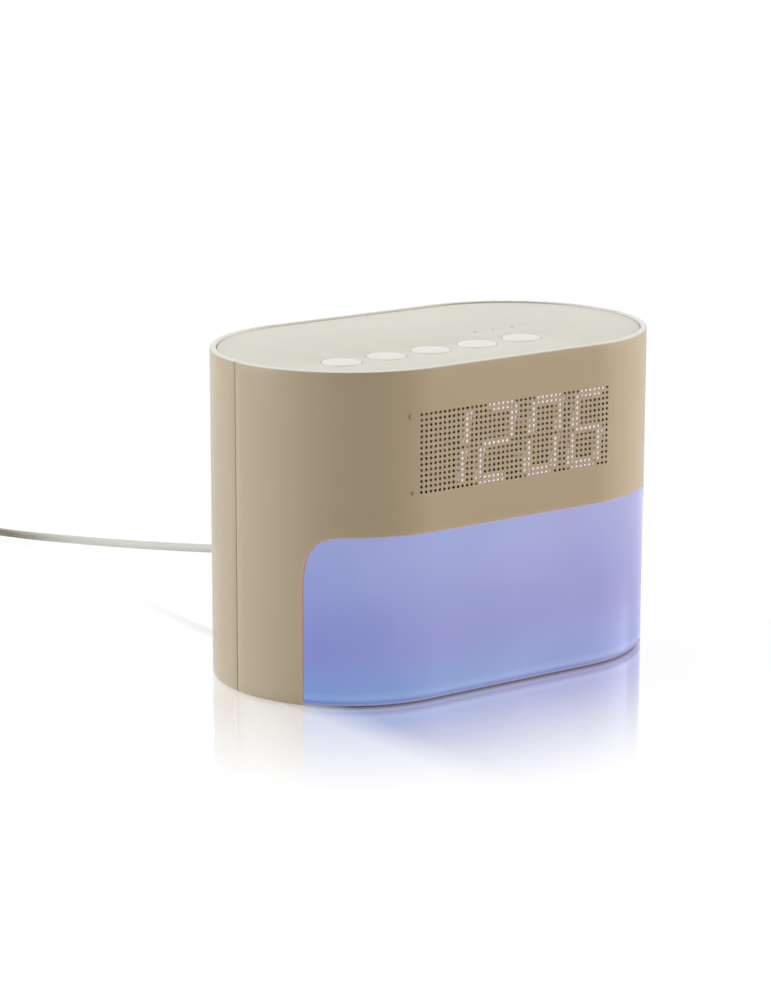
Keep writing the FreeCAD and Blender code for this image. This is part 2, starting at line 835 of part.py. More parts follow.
def light_pipes():
    low = button_board_top() + CHIP_HEIGHT
    high = PANEL_TOP - PIPE_SINK
    return Part.makeCompound([pin(x, INDICATOR_Y, PIPE_RADIUS, low, high) for x in INDICATOR_XS])


# Main board


def main_board_rails():
    z1 = PLATE_TOP + MAIN_BOARD_LIFT
    half = MAIN_BOARD_WIDTH / 2
    rail = RAIL_THICK / 2
    end = MAIN_BOARD_LENGTH / 2 - POST_SIZE
    rails = []
    for x in (-end, end):
        rails.append(span_box(x - rail, x + rail, MAIN_BOARD_Y - half, MAIN_BOARD_Y + half, PLATE_TOP, z1))
    return rails


def main_board_top():
    return PLATE_TOP + MAIN_BOARD_LIFT + BOARD_THICK


def main_board():
    half = MAIN_BOARD_LENGTH / 2
    y0 = MAIN_BOARD_Y - MAIN_BOARD_WIDTH / 2
    top = main_board_top()
    return span_box(-half, half, y0, y0 + MAIN_BOARD_WIDTH, top - BOARD_THICK, top)


def board_components():
    """Processor, amplifier, two capacitors and four plug sockets."""
    low = main_board_top()
    front = MAIN_BOARD_Y - MAIN_BOARD_WIDTH / 2 + BOARD_EDGE
    capacitor_y = MAIN_BOARD_Y + MAIN_BOARD_WIDTH / 2 - BOARD_EDGE - CAPACITOR_RADIUS
    parts = [
        square_post(0, MAIN_BOARD_Y, PROCESSOR_SIZE, low, low + CHIP_THICK),
        square_post(AMPLIFIER_PLACE * MAIN_BOARD_LENGTH, MAIN_BOARD_Y, AMPLIFIER_SIZE, low, low + CHIP_THICK),
    ]
    for place in CAPACITOR_PLACES:
        x = place * MAIN_BOARD_LENGTH
        parts.append(disc(x, capacitor_y, CAPACITOR_RADIUS, low, low + CAPACITOR_HEIGHT))
    for place in SOCKET_PLACES:
        x0 = place * MAIN_BOARD_LENGTH - SOCKET_WIDTH / 2
        socket_top = low + SOCKET_HEIGHT
        parts.append(span_box(x0, x0 + SOCKET_WIDTH, front, front + SOCKET_DEPTH, low, socket_top))
    return Part.makeCompound(parts)


# Loudspeaker


def turned(profile):
    """Solid turned about the loudspeaker's axis from (radius, depth behind the wall) points."""
    wall = END_RADIUS - WALL
    points = [vec(SPEAKER_X + radius, wall - depth, SPEAKER_Z) for radius, depth in profile]
    face = Part.Face(Part.makePolygon(points + [points[0]]))
    return face.revolve(vec(SPEAKER_X, 0, SPEAKER_Z), vec(0, 1, 0), 360)


def speaker_gasket():
    inner = SPEAKER_RADIUS - GASKET_WIDTH
    return turned([(inner, 0), (SPEAKER_RADIUS, 0), (SPEAKER_RADIUS, GASKET_THICK), (inner, GASKET_THICK)])


def basket_end():
    return GASKET_THICK + SPEAKER_DEPTH - MAGNET_DEPTH


def basket_throat():
    """Radius of the flange's opening, where the cone's rim sits."""
    return SPEAKER_RADIUS - BASKET_FLANGE_WIDTH


def speaker_frame():
    """Pressed basket with a flat flange and an open throat for the cone."""
    front = GASKET_THICK
    flange_back = front + BASKET_THICK
    back = basket_end()
    throat = basket_throat()
    return turned(
        [
            (throat, front),
            (SPEAKER_RADIUS, front),
            (SPEAKER_RADIUS, flange_back),
            (throat + BASKET_THICK, flange_back),
            (MAGNET_RADIUS, back),
            (BASKET_HOLE_RADIUS, back),
            (BASKET_HOLE_RADIUS, back - BASKET_THICK),
            (MAGNET_RADIUS - BASKET_THICK, back - BASKET_THICK),
            (throat, flange_back),
        ]
    )


def speaker_cone():
    """Paper cone with its rolled rim, dust cap and coil former."""
    face = GASKET_THICK + CONE_GAP
    rim = basket_throat() - CONE_GAP / 2
    roll = rim - SURROUND_WIDTH
    former_end = basket_end() - BASKET_THICK - INNER_GAP
    neck = former_end - COIL_FORMER_LENGTH
    half = CONE_THICK / 2
    return turned(
        [
            (0, neck - CONE_THICK - DUST_CAP_RISE),
            (COIL_FORMER_RADIUS - half, neck - CONE_THICK),
            (roll - half, face),
            (rim, face),
            (rim, face + CONE_THICK),
            (roll, face + CONE_THICK),
            (COIL_FORMER_RADIUS, neck),
            (COIL_FORMER_RADIUS, former_end),
            (0, former_end),
        ]
    )


def speaker_magnet():
    back = basket_end()
    return turned([(0, back), (MAGNET_RADIUS, back), (MAGNET_RADIUS, back + MAGNET_DEPTH), (0, back + MAGNET_DEPTH)])


# Power lead


def relief_end():
    return END_RADIUS + RELIEF_LENGTH


def strain_relief():
    """Tapered sleeve held in the rear wall between two flanges, with ribs along its taper."""
    wall_in = END_RADIUS - WALL
    flange_out = END_RADIUS + RELIEF_FLANGE_THICK
    profile = [
        (0, wall_in - RELIEF_FLANGE_THICK),
        (RELIEF_FLANGE_RADIUS, wall_in - RELIEF_FLANGE_THICK),
        (RELIEF_FLANGE_RADIUS, wall_in),
        (RELIEF_NECK_RADIUS, wall_in),
        (RELIEF_NECK_RADIUS, END_RADIUS),
        (RELIEF_FLANGE_RADIUS, END_RADIUS),
        (RELIEF_FLANGE_RADIUS, flange_out),
        (RELIEF_ROOT_RADIUS, flange_out),
    ]
    profile += relief_grooves(flange_out)
    profile += [(RELIEF_TIP_RADIUS, relief_end()), (0, relief_end())]
    points = [vec(EXIT_X + radius, y, EXIT_Z) for radius, y in profile]
    face = Part.Face(Part.makePolygon(points + [points[0]]))
    return face.revolve(vec(EXIT_X, 0, EXIT_Z), vec(0, 1, 0), 360)


def relief_grooves(start):
    """Grooves that let the taper bend, as (radius, y) points along it."""
    length = relief_end() - start
    pitch = length / (RELIEF_GROOVES + 1)
    points = []
    for step in range(1, RELIEF_GROOVES + 1):
        for edge, sunk in ((-0.5, 0), (-0.5, 1), (0, 1), (0, 0)):
            y = start + (step + edge) * pitch
            share = (y - start) / length
            radius = RELIEF_ROOT_RADIUS + share * (RELIEF_TIP_RADIUS - RELIEF_ROOT_RADIUS)
            points.append((radius - sunk * RELIEF_GROOVE_DEPTH, y))
    return points


def section_radius():
    """Corner radius of the many-sided section that has the round cord's area."""
    turn = 2 * math.pi / CORD_SIDES
    return CORD_DIAMETER / 2 * math.sqrt(turn / math.sin(turn))


def cord_section(place, along):
    """Many-sided outline square to the cord."""
    side = along.cross(vec(0, 0, 1))
    side.normalize()
    up = side.cross(along)
    up.normalize()
    points = []
    for step in range(CORD_SIDES):
        turn = 2 * math.pi * (step + 0.5) / CORD_SIDES
        across = side * (section_radius() * math.cos(turn))
        points.append(place + across + up * (section_radius() * math.sin(turn)))
    return Part.makePolygon(points + [points[0]])


def coil_turn():
    """Angle from the coil's own frame, where the lead comes in at 180 degrees."""
    return COIL_HEADING - 180.0


def outer_coil_radius():
    return COIL_INNER_RADIUS + COIL_HALF_TURNS * COIL_PITCH / 2


def coil_centre():
    turn = math.radians(COIL_HEADING)
    radius = outer_coil_radius()
    return vec(COIL_ENTRY[0] - radius * math.cos(turn), COIL_ENTRY[1] - radius * math.sin(turn), 0)


def place_on_coil(shape):
    """Moves a shape from the coil's own frame to where the coil lies."""
    shape.rotate(vec(0, 0, 0), vec(0, 0, 1), coil_turn())
    shape.translate(coil_centre())
    return shape


def coil_base():
    """Height of the lowest layer's middle, clear of the strap that the coil lies on."""
    return TIE_THICK + TIE_CLEAR + section_radius()


def biarc(start, start_dir, end, end_dir):
    """Two tangent arcs from start to end, as lists of (start, middle, end) points."""
    chord = end - start
    both = start_dir + end_dir
    a = both.dot(both) - 4
    b = -2 * chord.dot(both)
    c = chord.dot(chord)
    reach = c / -b if abs(a) < 1e-9 else (-b - math.sqrt(b * b - 4 * a * c)) / (2 * a)
    first = start + start_dir * reach
    second = end - end_dir * reach
    joint = (first + second) * 0.5
    joint_dir = second - first
    joint_dir.normalize()
    return [arc_points(start, start_dir, joint, joint_dir), arc_points(joint, joint_dir, end, end_dir)]


def arc_points(start, start_dir, end, end_dir):
    """Start, middle and end of the arc that leaves along start_dir and arrives along end_dir."""
    half_chord = (end - start) * 0.5
    bend = start_dir - end_dir
    bend.normalize()
    half_turn = start_dir.getAngle(end_dir) / 2
    rise = half_chord.Length * math.tan(half_turn / 2)
    return (start, start + half_chord + bend * rise, end)


def coil_stations():
    """Points and headings that the coil's half turns pass through, in the coil's own frame."""
    z = coil_base()
    side = -1
    radius = outer_coil_radius()
    step = -COIL_PITCH / 2
    stations = [(vec(side * radius, 0, z), vec(0, side, 0))]
    for layer in range(COIL_LAYERS):
        for turn in range(COIL_HALF_TURNS):
            side = -side
            radius += step
            stations.append((vec(side * radius, 0, z), vec(0, side, 0)))
        step = -step
        if layer < COIL_LAYERS - 1:
            side = -side
            z += COIL_LAYER
            stations.append((vec(side * radius, 0, z), vec(0, side, 0)))
    return stations


def coil_top():
    return coil_base() + (COIL_LAYERS - 1) * COIL_LAYER + section_radius()


def plug_height():
    return coil_top() + PLUG_REST_GAP + PLUG_BODY_THICK / 2


def plug_start():
    return vec(0, PLUG_START_Y, plug_height())


def coil_arcs():
    """All the coil's arcs, ending with the one that brings the lead up to its plug."""
    stations = coil_stations()
    last = (plug_start() + vec(0, CORD_DIAMETER, 0), vec(0, -1, 0))
    stations.append(last)
    arcs = []
    for (start, start_dir), (end, end_dir) in zip(stations, stations[1:]):
        arcs += biarc(start, start_dir, end, end_dir)
    return arcs


def coil_wire():
    arcs = coil_arcs()
    start = arcs[0][0] + vec(0, CORD_DIAMETER, 0)
    edges = [Part.LineSegment(start, arcs[0][0]).toShape()]
    edges += [Part.Arc(*points).toShape() for points in arcs]
    edges.append(Part.LineSegment(arcs[-1][2], plug_start()).toShape())
    return Part.Wire(edges)


def power_cord_coil():
    """The rest of the lead, wound in layers that spiral in and out again."""
    wire = coil_wire()
    start = wire.OrderedVertexes[0].Point
    section = cord_section(start, vec(0, -1, 0))
    coil = wire.makePipeShell([section], True, False)
    return place_on_coil(coil)


def cord_points():
    """Corner points of the lead's route from the strain relief to the coil."""
    turn = math.radians(COIL_HEADING)
    along = vec(-math.sin(turn), math.cos(turn), 0)
    end = vec(COIL_ENTRY[0], COIL_ENTRY[1], coil_base()) - along * CORD_DIAMETER
    before = end - along * CORD_LAST_RUN
    points = [vec(EXIT_X, relief_end(), EXIT_Z)]
    points += [vec(*point) for point in CORD_ROUTE]
    return points + [before, end]


def cord_wire():
    """Straight runs joined by tangent arcs, each as large as its runs allow."""
    points = cord_points()
    edges = []
    radii = []
    last = points[0]
    for before, corner, after in zip(points, points[1:], points[2:]):
        back = before - corner
        ahead = after - corner
        trim = 0.45 * min(back.Length, ahead.Length)
        turn = math.pi - back.getAngle(ahead)
        radii.append(trim / math.tan(turn / 2))
        back.normalize()
        ahead.normalize()
        start = corner + back * trim
        end = corner + ahead * trim
        _, middle, _ = arc_points(start, back * -1, end, ahead)
        edges.append(Part.LineSegment(last, start).toShape())
        edges.append(Part.Arc(start, middle, end).toShape())
        last = end
    edges.append(Part.LineSegment(last, points[-1]).toShape())
    print("lead's bend radii, mm:", [round(radius) for radius in radii])
    return Part.Wire(edges)


def power_cord():
    wire = cord_wire()
    points = cord_points()
    along = points[1] - points[0]
    along.normalize()
    section = cord_section(points[0], along)
    return wire.makePipeShell([section], True, False)


def cord_tie():
    """Soft strap round the coil's bundle."""
    inner = COIL_INNER_RADIUS - section_radius() - TIE_CLEAR
    outer = outer_coil_radius() + section_radius() + TIE_CLEAR
    half = TIE_WIDTH / 2
    top = coil_top() + TIE_CLEAR
    strap = span_box(inner - TIE_THICK, outer + TIE_THICK, -half, half, 0, top + TIE_THICK)
    strap = strap.makeFillet(TIE_ROUND, edges_along_y(strap))
    space = span_box(inner, outer, -half, half, TIE_THICK, top)
    strap = strap.cut(space.makeFillet(TIE_ROUND - TIE_THICK, edges_along_y(space)))
    strap.rotate(vec(0, 0, 0), vec(0, 0, 1), TIE_ANGLE)
    return place_on_coil(strap)


# Plug


def plug_box(width, thick, start, length):
    """Box on the plug's axis, from a distance past the lead's end."""
    y1 = PLUG_START_Y - start
    z = plug_height()
    return span_box(-width / 2, width / 2, y1 - length, y1, z - thick / 2, z + thick / 2)


def usb_plug_body():
    """Moulded grip that tapers down to the lead."""
    grip = plug_box(PLUG_BODY_WIDTH, PLUG_BODY_THICK, PLUG_TAIL, PLUG_BODY_LENGTH)
    grip = grip.makeFillet(PLUG_BODY_ROUND, edges_along_y(grip))
    tip = plug_start()
    tail = Part.makeCone(CORD_DIAMETER / 2 + PLUG_TAIL_LIP, PLUG_TAIL_RADIUS, PLUG_TAIL, tip, vec(0, -1, 0))
    return place_on_coil(grip.fuse(tail))


def usb_plug_shell():
    start = PLUG_TAIL + PLUG_BODY_LENGTH
    outside = plug_box(PLUG_SHELL_WIDTH, PLUG_SHELL_THICK, start, PLUG_SHELL_LENGTH)
    wall = 2 * PLUG_SHELL_WALL
    inside = plug_box(PLUG_SHELL_WIDTH - wall, PLUG_SHELL_THICK - wall, start, PLUG_SHELL_LENGTH)
    return place_on_coil(outside.cut(inside))


def usb_plug_tongue():
    start = PLUG_TAIL + PLUG_BODY_LENGTH
    width = PLUG_SHELL_WIDTH - 2 * PLUG_SHELL_WALL - PLUG_TONGUE_GAP
    tongue = plug_box(width, PLUG_TONGUE_THICK, start, PLUG_SHELL_LENGTH - PLUG_TONGUE_GAP)
    rise = (PLUG_SHELL_THICK - PLUG_TONGUE_THICK) / 2 - PLUG_SHELL_WALL
    tongue.translate(vec(0, 0, rise))
    return place_on_coil(tongue)


# Checks that are printed


def wire_samples(wire, step):
    count = int(wire.Length / step)
    points = []
    for edge in wire.OrderedEdges:
        share = max(2, int(count * edge.Length / wire.Length))
        points += edge.discretize(Number=share)[:-1]
    return points


def report_coil():
    """Prints the coil's length and the least gap between its turns."""
    wire = coil_wire()
    points = wire_samples(wire, 1.0)
    apart = int(math.pi * COIL_INNER_RADIUS / 2)
    least = min(
        points[i].distanceToPoint(points[j])
        for i in range(len(points))
        for j in range(i + apart, len(points))
    )
    print("coil length, mm:", round(wire.Length, 1))
    print("coil's least gap to itself, mm:", round(least - 2 * section_radius(), 2))


def report_volume(name, solid, length):
    section = math.pi * CORD_DIAMETER**2 / 4
    print(name, "volume over section times length:", round(solid.Volume / (section * length), 4))


def build():
    parts = {
        "front_shell": front_shell(),
        "rear_shell": rear_shell(),
        "top_panel": top_panel(),
        "base_plate": base_plate(),
        "feet": feet(),
        "base_screws": base_screws(),
        "lamp_diffuser": lamp_diffuser(),
        "lamp_reflector": lamp_reflector(),
        "lamp_board": lamp_board(),
        "lamp_leds": lamp_leds(),
        "display_baffle": display_baffle(),
        "display_module": display_module(),
        "display_segments": display_segments(),
        "display_board": display_board(),
        "button_switches": button_switches(),
        "button_board": button_board(),
        "indicator_leds": indicator_leds(),
        "light_pipes": light_pipes(),
        "main_board": main_board(),
        "board_components": board_components(),
        "speaker_gasket": speaker_gasket(),
        "speaker_frame": speaker_frame(),
        "speaker_magnet": speaker_magnet(),
        "speaker_cone": speaker_cone(),
        "strain_relief": strain_relief(),
        "power_cord": power_cord(),
        "power_cord_coil": power_cord_coil(),
        "cord_tie": cord_tie(),
        "usb_plug_body": usb_plug_body(),
        "usb_plug_shell": usb_plug_shell(),
        "usb_plug_tongue": usb_plug_tongue(),
    }
    for number, x in enumerate(BUTTON_XS, start=1):
        parts[f"button_{number}"] = button(x)
        parts[f"switch_plunger_{number}"] = switch_plunger(x)
    return parts


def main():
    os.makedirs("parts", exist_ok=True)
    parts = build()
    report_coil()
    report_volume("lead", parts["power_cord"], cord_wire().Length)
    report_volume("coil", parts["power_cord_coil"], coil_wire().Length)
    for name, shape in parts.items():
        shape.exportStep(f"parts/{name}.step")


main()
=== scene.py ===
import json
import math

import bmesh
import bpy
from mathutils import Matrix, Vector
from mathutils.geometry import delaunay_2d_cdt


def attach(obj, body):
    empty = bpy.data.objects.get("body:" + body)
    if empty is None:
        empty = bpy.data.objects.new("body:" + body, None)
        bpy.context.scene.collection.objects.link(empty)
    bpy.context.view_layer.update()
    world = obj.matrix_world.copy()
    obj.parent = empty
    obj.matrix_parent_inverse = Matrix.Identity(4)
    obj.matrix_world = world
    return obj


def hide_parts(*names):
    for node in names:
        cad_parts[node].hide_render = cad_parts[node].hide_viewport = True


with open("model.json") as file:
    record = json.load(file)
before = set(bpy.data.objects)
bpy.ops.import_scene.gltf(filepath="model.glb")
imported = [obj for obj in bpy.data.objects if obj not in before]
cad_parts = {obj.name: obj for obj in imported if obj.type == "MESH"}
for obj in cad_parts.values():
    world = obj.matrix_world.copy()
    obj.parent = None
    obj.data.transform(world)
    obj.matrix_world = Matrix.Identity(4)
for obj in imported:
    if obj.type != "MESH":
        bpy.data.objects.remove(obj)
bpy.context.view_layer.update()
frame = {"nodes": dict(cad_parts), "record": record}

# Sizes are in millimetres, as in the part's source, and meshes are scaled to metres.
MM = 0.001

# Housing
END_CENTRE = 38.0
END_RADIUS = 52.0
HEIGHT = 125.0
HEM = 0.3
WALL = 2.4
RIM_ROUND = 0.5
HEM_ROUND = 0.8
SEAM_Y = -1.5
SEAM_GAP = 0.28
SEAM_ROUND = 0.2
LEDGE_HEIGHTS = (120.15, 122.15)
LEDGE_DEPTH = 1.8
LIP_HEIGHTS = (6.0, 119.8)
LIP_DEPTH = 1.2
LIP_ROOT = 5.0
LIP_REACH = 3.0

# Perforated field, whose wall steps down to a thin one just past its margin
DOT_COLUMNS = 43
DOT_ROWS = 15
DOT_PITCH = 2.055
DOT_RADIUS = 0.55
DOT_CHAMFER = 0.06
DOT_SIDES = 16
DOT_MIDDLE_X = 0.35
DOT_MIDDLE_Z = 93.75
FIELD_WALL = 0.3
FIELD_MARGIN = 3.2
FIELD_STEP = 0.1

# Display. The lit strokes stand close behind the wall, shifted to the right of the solids' strokes,
# so that from the photo's side they show through the holes that are lit there.
MODULE_FRONT = -48.6
STROKE_FRONT = -51.4
STROKE_BACK = -47.6
DARK_PROUD = 0.02
HALO_FRONT = -51.3
HALO_GROWTH = 0.5
HALO_REACH = 1.6
DIGIT_SHIFT = 2.35
DIGIT_CENTRES = tuple(x + DIGIT_SHIFT for x in (-31.6, -10.7, 11.3, 32.0))
DIGIT_WIDTH = 12.7
DIGIT_HEIGHT = 29.3
DIGIT_MIDDLE_Z = 93.65
DIGIT_SLANT = 8.7
STROKE_WIDTH = 2.6
STROKE_GAP = 0.5
COLON_X = 0.4 + DIGIT_SHIFT
COLON_RISE = 6.2
# Lit strokes of each digit: 0 bottom, 1 top, 2 middle, 3 and 4 left, 5 and 6 right, lower first
DIGITS_LIT = ((5, 6), (0, 1, 2, 3, 6), (0, 1, 3, 4, 5, 6), (0, 1, 2, 3, 4, 5))

# Printed marks: middle along the wall, middle height and size
MOON = (-47.3, 107.8, 0.95)
BELL = (-46.6, 79.5, 0.9)
MARK_DEPTHS = (-0.015, 0.02)

# Lamp window, its panel and the glow in the plastic round it
LAMP_TOP = 64.0
LAMP_SIDE = END_CENTRE + END_RADIUS * math.radians(54.4)
CORNER_WIDE = 16.5
CORNER_TALL = 22.5
CORNER_PULL_WIDE = 4.0
CORNER_PULL_TALL = 4.3
LAMP_GAP = 0.14
LAMP_INSET = 0.15
LAMP_BACK = WALL + 0.3
LAMP_EDGE_ROUND = 0.35
LAMP_HEM_ROUND = 2.4
WINDOW_ROUND = 0.3
SPILL_RINGS = (0.25, 0.7, 1.3, 2.2, 3.4)
SPILL_FADE = 1.6

# Top panel, buttons and indicator pins; profiles are (radius, height)
PANEL_TOP = 124.35
PANEL_THICK = 2.2
PANEL_INSET = 2.62
PANEL_ROUND = 0.2
HOLE_ROUND_SHARE = 0.3
BUTTON_XS = (-57.8, -37.8, -17.6, 3.8, 25.0)
BUTTON_Y = -23.0
BUTTON_FOOT = 114.6
BUTTON_TOP = 124.6
BUTTON_RADIUS = 7.45
BUTTON_HOLE = 7.65
BUTTON_EDGE = 0.55
BUTTON_CROWN = 0.02
BUTTON_LOWER = ((0, 5.0), (2.0, 5.0), (2.0, 6.45), (8.65, 6.45), (8.65, 7.45), (BUTTON_RADIUS, 7.45))
# How far each cap leans, in degrees, and which way; only what lies above the collar leans
BUTTON_TILTS = ((0.5, -80), (0.35, 200), (0.4, -100), (0.25, -60), (0.3, 250))
BUTTON_TILT_FROM = 8.5
PIN_XS = (17.5, 26.2, 35.2)
PIN_Y = -4.0
PIN_RADIUS = 0.62
PIN_GAP = 0.05
PIN_PROFILE = (
    (0, 115.5), (PIN_RADIUS, 115.5), (PIN_RADIUS, 123.95), (0.8 * PIN_RADIUS, 124.0), (0, 124.02),
)

# Loudspeaker grille
GRILLE_Z = 76.0
GRILLE_PITCH = 5.0
GRILLE_RINGS = 4
GRILLE_HOLE = 1.3
GRILLE_CHAMFER = 0.15
GRILLE_SIDES = 24
GRILLE_PATCH = 20.0

# Strain relief as (radius, distance outwards): flange, taper with grooves, rounded tip
CORD_DIAMETER = 3.5
EXIT_X = -11.0
EXIT_Z = 23.0
RELIEF_END = 70.0
RELIEF_FLANGE = (
    (0, 50.2), (3.5, 50.2), (3.5, 52.0), (5.2, 52.0),
    (5.6, 52.15), (5.6, 53.2), (5.3, 53.6), (4.4, 53.75),
)
RELIEF_TAPER = (54.6, 68.6)
RELIEF_RADII = (4.2, 2.6)
RELIEF_GROOVES = 5
# One groove: share of its pitch and how far the surface is sunk there
RELIEF_GROOVE = (
    (0.0, 0.0), (0.06, 0.2625), (0.16, 0.5625), (0.34, 0.5625), (0.44, 0.2625), (0.5, 0.0), (0.75, -0.0375),
)
RELIEF_TIP = ((2.6, 68.6), (2.55, 69.4), (2.3, 69.85), (1.9, RELIEF_END), (0, RELIEF_END))

# The lead's way over the floor, and its last turn up to the plug in the coil's own frame
CORD_ROUTE = (
    (EXIT_X, RELIEF_END, EXIT_Z),
    (-11.0, 84.0, 23.0),
    (-13.6, 104.0, 21.2),
    (-19.9, 125.0, 18.3),
    (-25.6, 151.0, 14.6),
    (-30.6, 187.5, 9.4),
    (-34.6, 219.0, 5.2),
    (-38.6, 239.0, 2.9),
    (-47.7, 257.4, 2.72),
)
COIL_ENTRY = (-56.6, 277.0)
COIL_HEADING = 24.5
COIL_RADIUS = 25.4
COIL_STEP = 2.6
COIL_BASE = 2.72
COIL_LAYER = 4.6
COIL_LAYERS = 4
COIL_HALVES = 4
COIL_POINTS = 9
COIL_END = (
    (25.7, 4.0, 16.7),
    (25.4, 12.0, 17.5),
    (22.6, 19.5, 18.9),
    (17.0, 25.2, 20.4),
    (10.0, 28.6, 21.6),
    (4.0, 28.6, 22.4),
    (0.8, 25.0, 22.65),
    (0.0, 20.5, 22.65),
    (0.0, 15.0, 22.65),
)

# Plug grip in sections: distance past the lead's end, half width, half thickness and squareness
PLUG_START_Y = 15.0
PLUG_AXIS_Z = 22.65
GRIP_SIDES = 56
GRIP_START = (
    (0.0, 1.8, 1.8, 2), (0.2, 2.1, 2.1, 2), (0.9, 2.15, 2.15, 2), (1.1, 1.95, 1.95, 2),
    (1.7, 1.95, 1.95, 2), (1.9, 2.3, 2.3, 2), (2.8, 2.4, 2.4, 2), (3.0, 2.1, 2.1, 2),
    (3.6, 2.1, 2.1, 2), (3.8, 2.55, 2.55, 2), (4.7, 2.7, 2.7, 2), (4.9, 2.35, 2.35, 2),
    (5.5, 2.4, 2.4, 2), (5.7, 2.8, 2.8, 2), (6.7, 3.0, 3.0, 2), (7.05, 3.5, 3.1, 2.4),
    (7.3, 5.6, 3.4, 3), (7.7, 6.9, 3.7, 3.6), (8.5, 7.5, 3.92, 4.4), (9.6, 7.7, 3.98, 5),
    (11.4, 7.72, 3.98, 5),
)
GRIP_GROOVES_START = 11.8
GRIP_GROOVES = 5
GRIP_GROOVE_PITCH = 1.9
GRIP_GROOVE = ((0.0, 7.72, 3.97, 5), (0.25, 7.66, 3.72, 5), (0.9, 7.66, 3.72, 5), (1.3, 7.72, 3.97, 5))
GRIP_END = ((23.6, 7.72, 3.98, 5), (24.5, 7.6, 3.9, 5), (24.85, 7.4, 3.7, 5), (25.0, 7.0, 3.3, 5))

# Strap on the coil: its outer face stands off the bundle by its thickness and a little slack
TIE_ANGLE = 225.0
TIE_WIDTH = 6.0
TIE_THICK = 0.5
TIE_ROUND = 1.8
TIE_STAND = CORD_DIAMETER / 2 + TIE_THICK
TIE_IN = COIL_RADIUS - COIL_HALVES * COIL_STEP - TIE_STAND - 0.48
TIE_OUT = COIL_RADIUS + TIE_STAND + 0.05
TIE_TOP = COIL_BASE + (COIL_LAYERS - 1) * COIL_LAYER + TIE_STAND + 0.05
TIE_LAP = 9.0
TIE_TIP = (1.5, 3.0)
TIE_THIN = 0.43
TIE_EDGE_WIDE = 0.35
TIE_EDGE_SUNK = 0.14
TIE_LOWEST = 0.01


# Mesh building


def add_object(name, data):
    obj = bpy.data.objects.new(name, data)
    bpy.context.scene.collection.objects.link(obj)
    return obj


def add_mesh(name, points, faces, sharp=40.0):
    """Smooth-shaded object from points in millimetres, with creases where it turns sharply."""
    mesh = bpy.data.meshes.new(name)
    mesh.from_pydata([Vector(p) * MM for p in points], [], faces)
    mesh.validate()
    mesh.shade_smooth()
    mesh.set_sharp_from_angle(angle=math.radians(sharp))
    return add_object(name, mesh)


def on_wall(along, depth):
    """Plan position of a point, from its way along the outer wall and its depth below it."""
    radius = END_RADIUS - depth
    side = math.copysign(1, along)
    bend = max(abs(along) - END_CENTRE, 0) / END_RADIUS
    flat = min(abs(along), END_CENTRE)
    return side * (flat + radius * math.sin(bend)), -radius * math.cos(bend)


def round_steps(radius, count=4):
    """Distances from an edge at which its rounding has points."""
    return [radius * (1 - math.cos(math.pi / 2 * k / count)) for k in range(count + 1)]


def round_drop(distance, radius):
    """How far a rounded edge falls below its face at a distance from the edge."""
    if distance >= radius:
        return 0.0
    return radius - math.sqrt(max(radius**2 - (radius - distance) ** 2, 0))


def spread(start, end, count):
    return [start + (end - start) * k / count for k in range(count + 1)]


class Sheet:
    """A piece of wall laid out flat: faces between points (along, up), some dropped below it."""

    def __init__(self):
        self.keys = {}
        self.points = []
        self.drops = []
        self.faces = []

    def point(self, along, up, drop=0.0):
        key = (round(along, 4), round(up, 4))
        if key not in self.keys:
            self.keys[key] = len(self.points)
            self.points.append((along, up))
            self.drops.append(drop)
        return self.keys[key]

    def face(self, *corners):
        ring = [c for k, c in enumerate(corners) if c != corners[k - 1]]
        if len(ring) > 2:
            self.faces.append(ring)

    def grid(self, columns, skip=lambda along, up: False):
        """Fills between neighbouring columns, each a list of point numbers from low to high."""
        for left, right in zip(columns, columns[1:]):
            for k in range(len(left) - 1):
                corners = (left[k], right[k], right[k + 1], left[k + 1])
                middle = [sum(self.points[c][i] for c in corners) / 4 for i in (0, 1)]
                if not skip(*middle):
                    self.face(*corners)

    def solid(self, name, outer, inner, turned=False):
        """Closes the sheet into a wall between its outer and inner depths."""
        count = len(self.points)
        sign = -1 if turned else 1
        points = []
        for depth_of in (outer, inner):
            for (along, up), drop in zip(self.points, self.drops):
                x, y = on_wall(along, depth_of(along, up, drop))
                points.append((sign * x, sign * y, up))
        faces = [list(f) for f in self.faces]
        faces += [[c + count for c in reversed(f)] for f in self.faces]
        edges = dict.fromkeys(pair for f in self.faces for pair in zip(f, f[1:] + f[:1]))
        faces += [[a, a + count, b + count, b] for a, b in edges if (b, a) not in edges]
        return add_mesh(name, points, faces)


def band(name, start, end, low, high, near, far, turned=False, steps=48):
    """A plain strip inside the wall, between two depths."""
    sheet = Sheet()
    columns = [[sheet.point(s, z) for z in (low, high)] for s in spread(start, end, steps)]
    sheet.grid(columns)
    return sheet.solid(name, lambda s, z, d: near, lambda s, z, d: far, turned)


def join(name, parts):
    """One object from several, so that they count as one piece."""
    mesh = bmesh.new()
    for part in parts:
        mesh.from_mesh(part.data)
        data = part.data
        bpy.data.objects.remove(part)
        bpy.data.meshes.remove(data)
    result = bpy.data.meshes.new(name)
    mesh.to_mesh(result)
    mesh.free()
    return add_object(name, result)


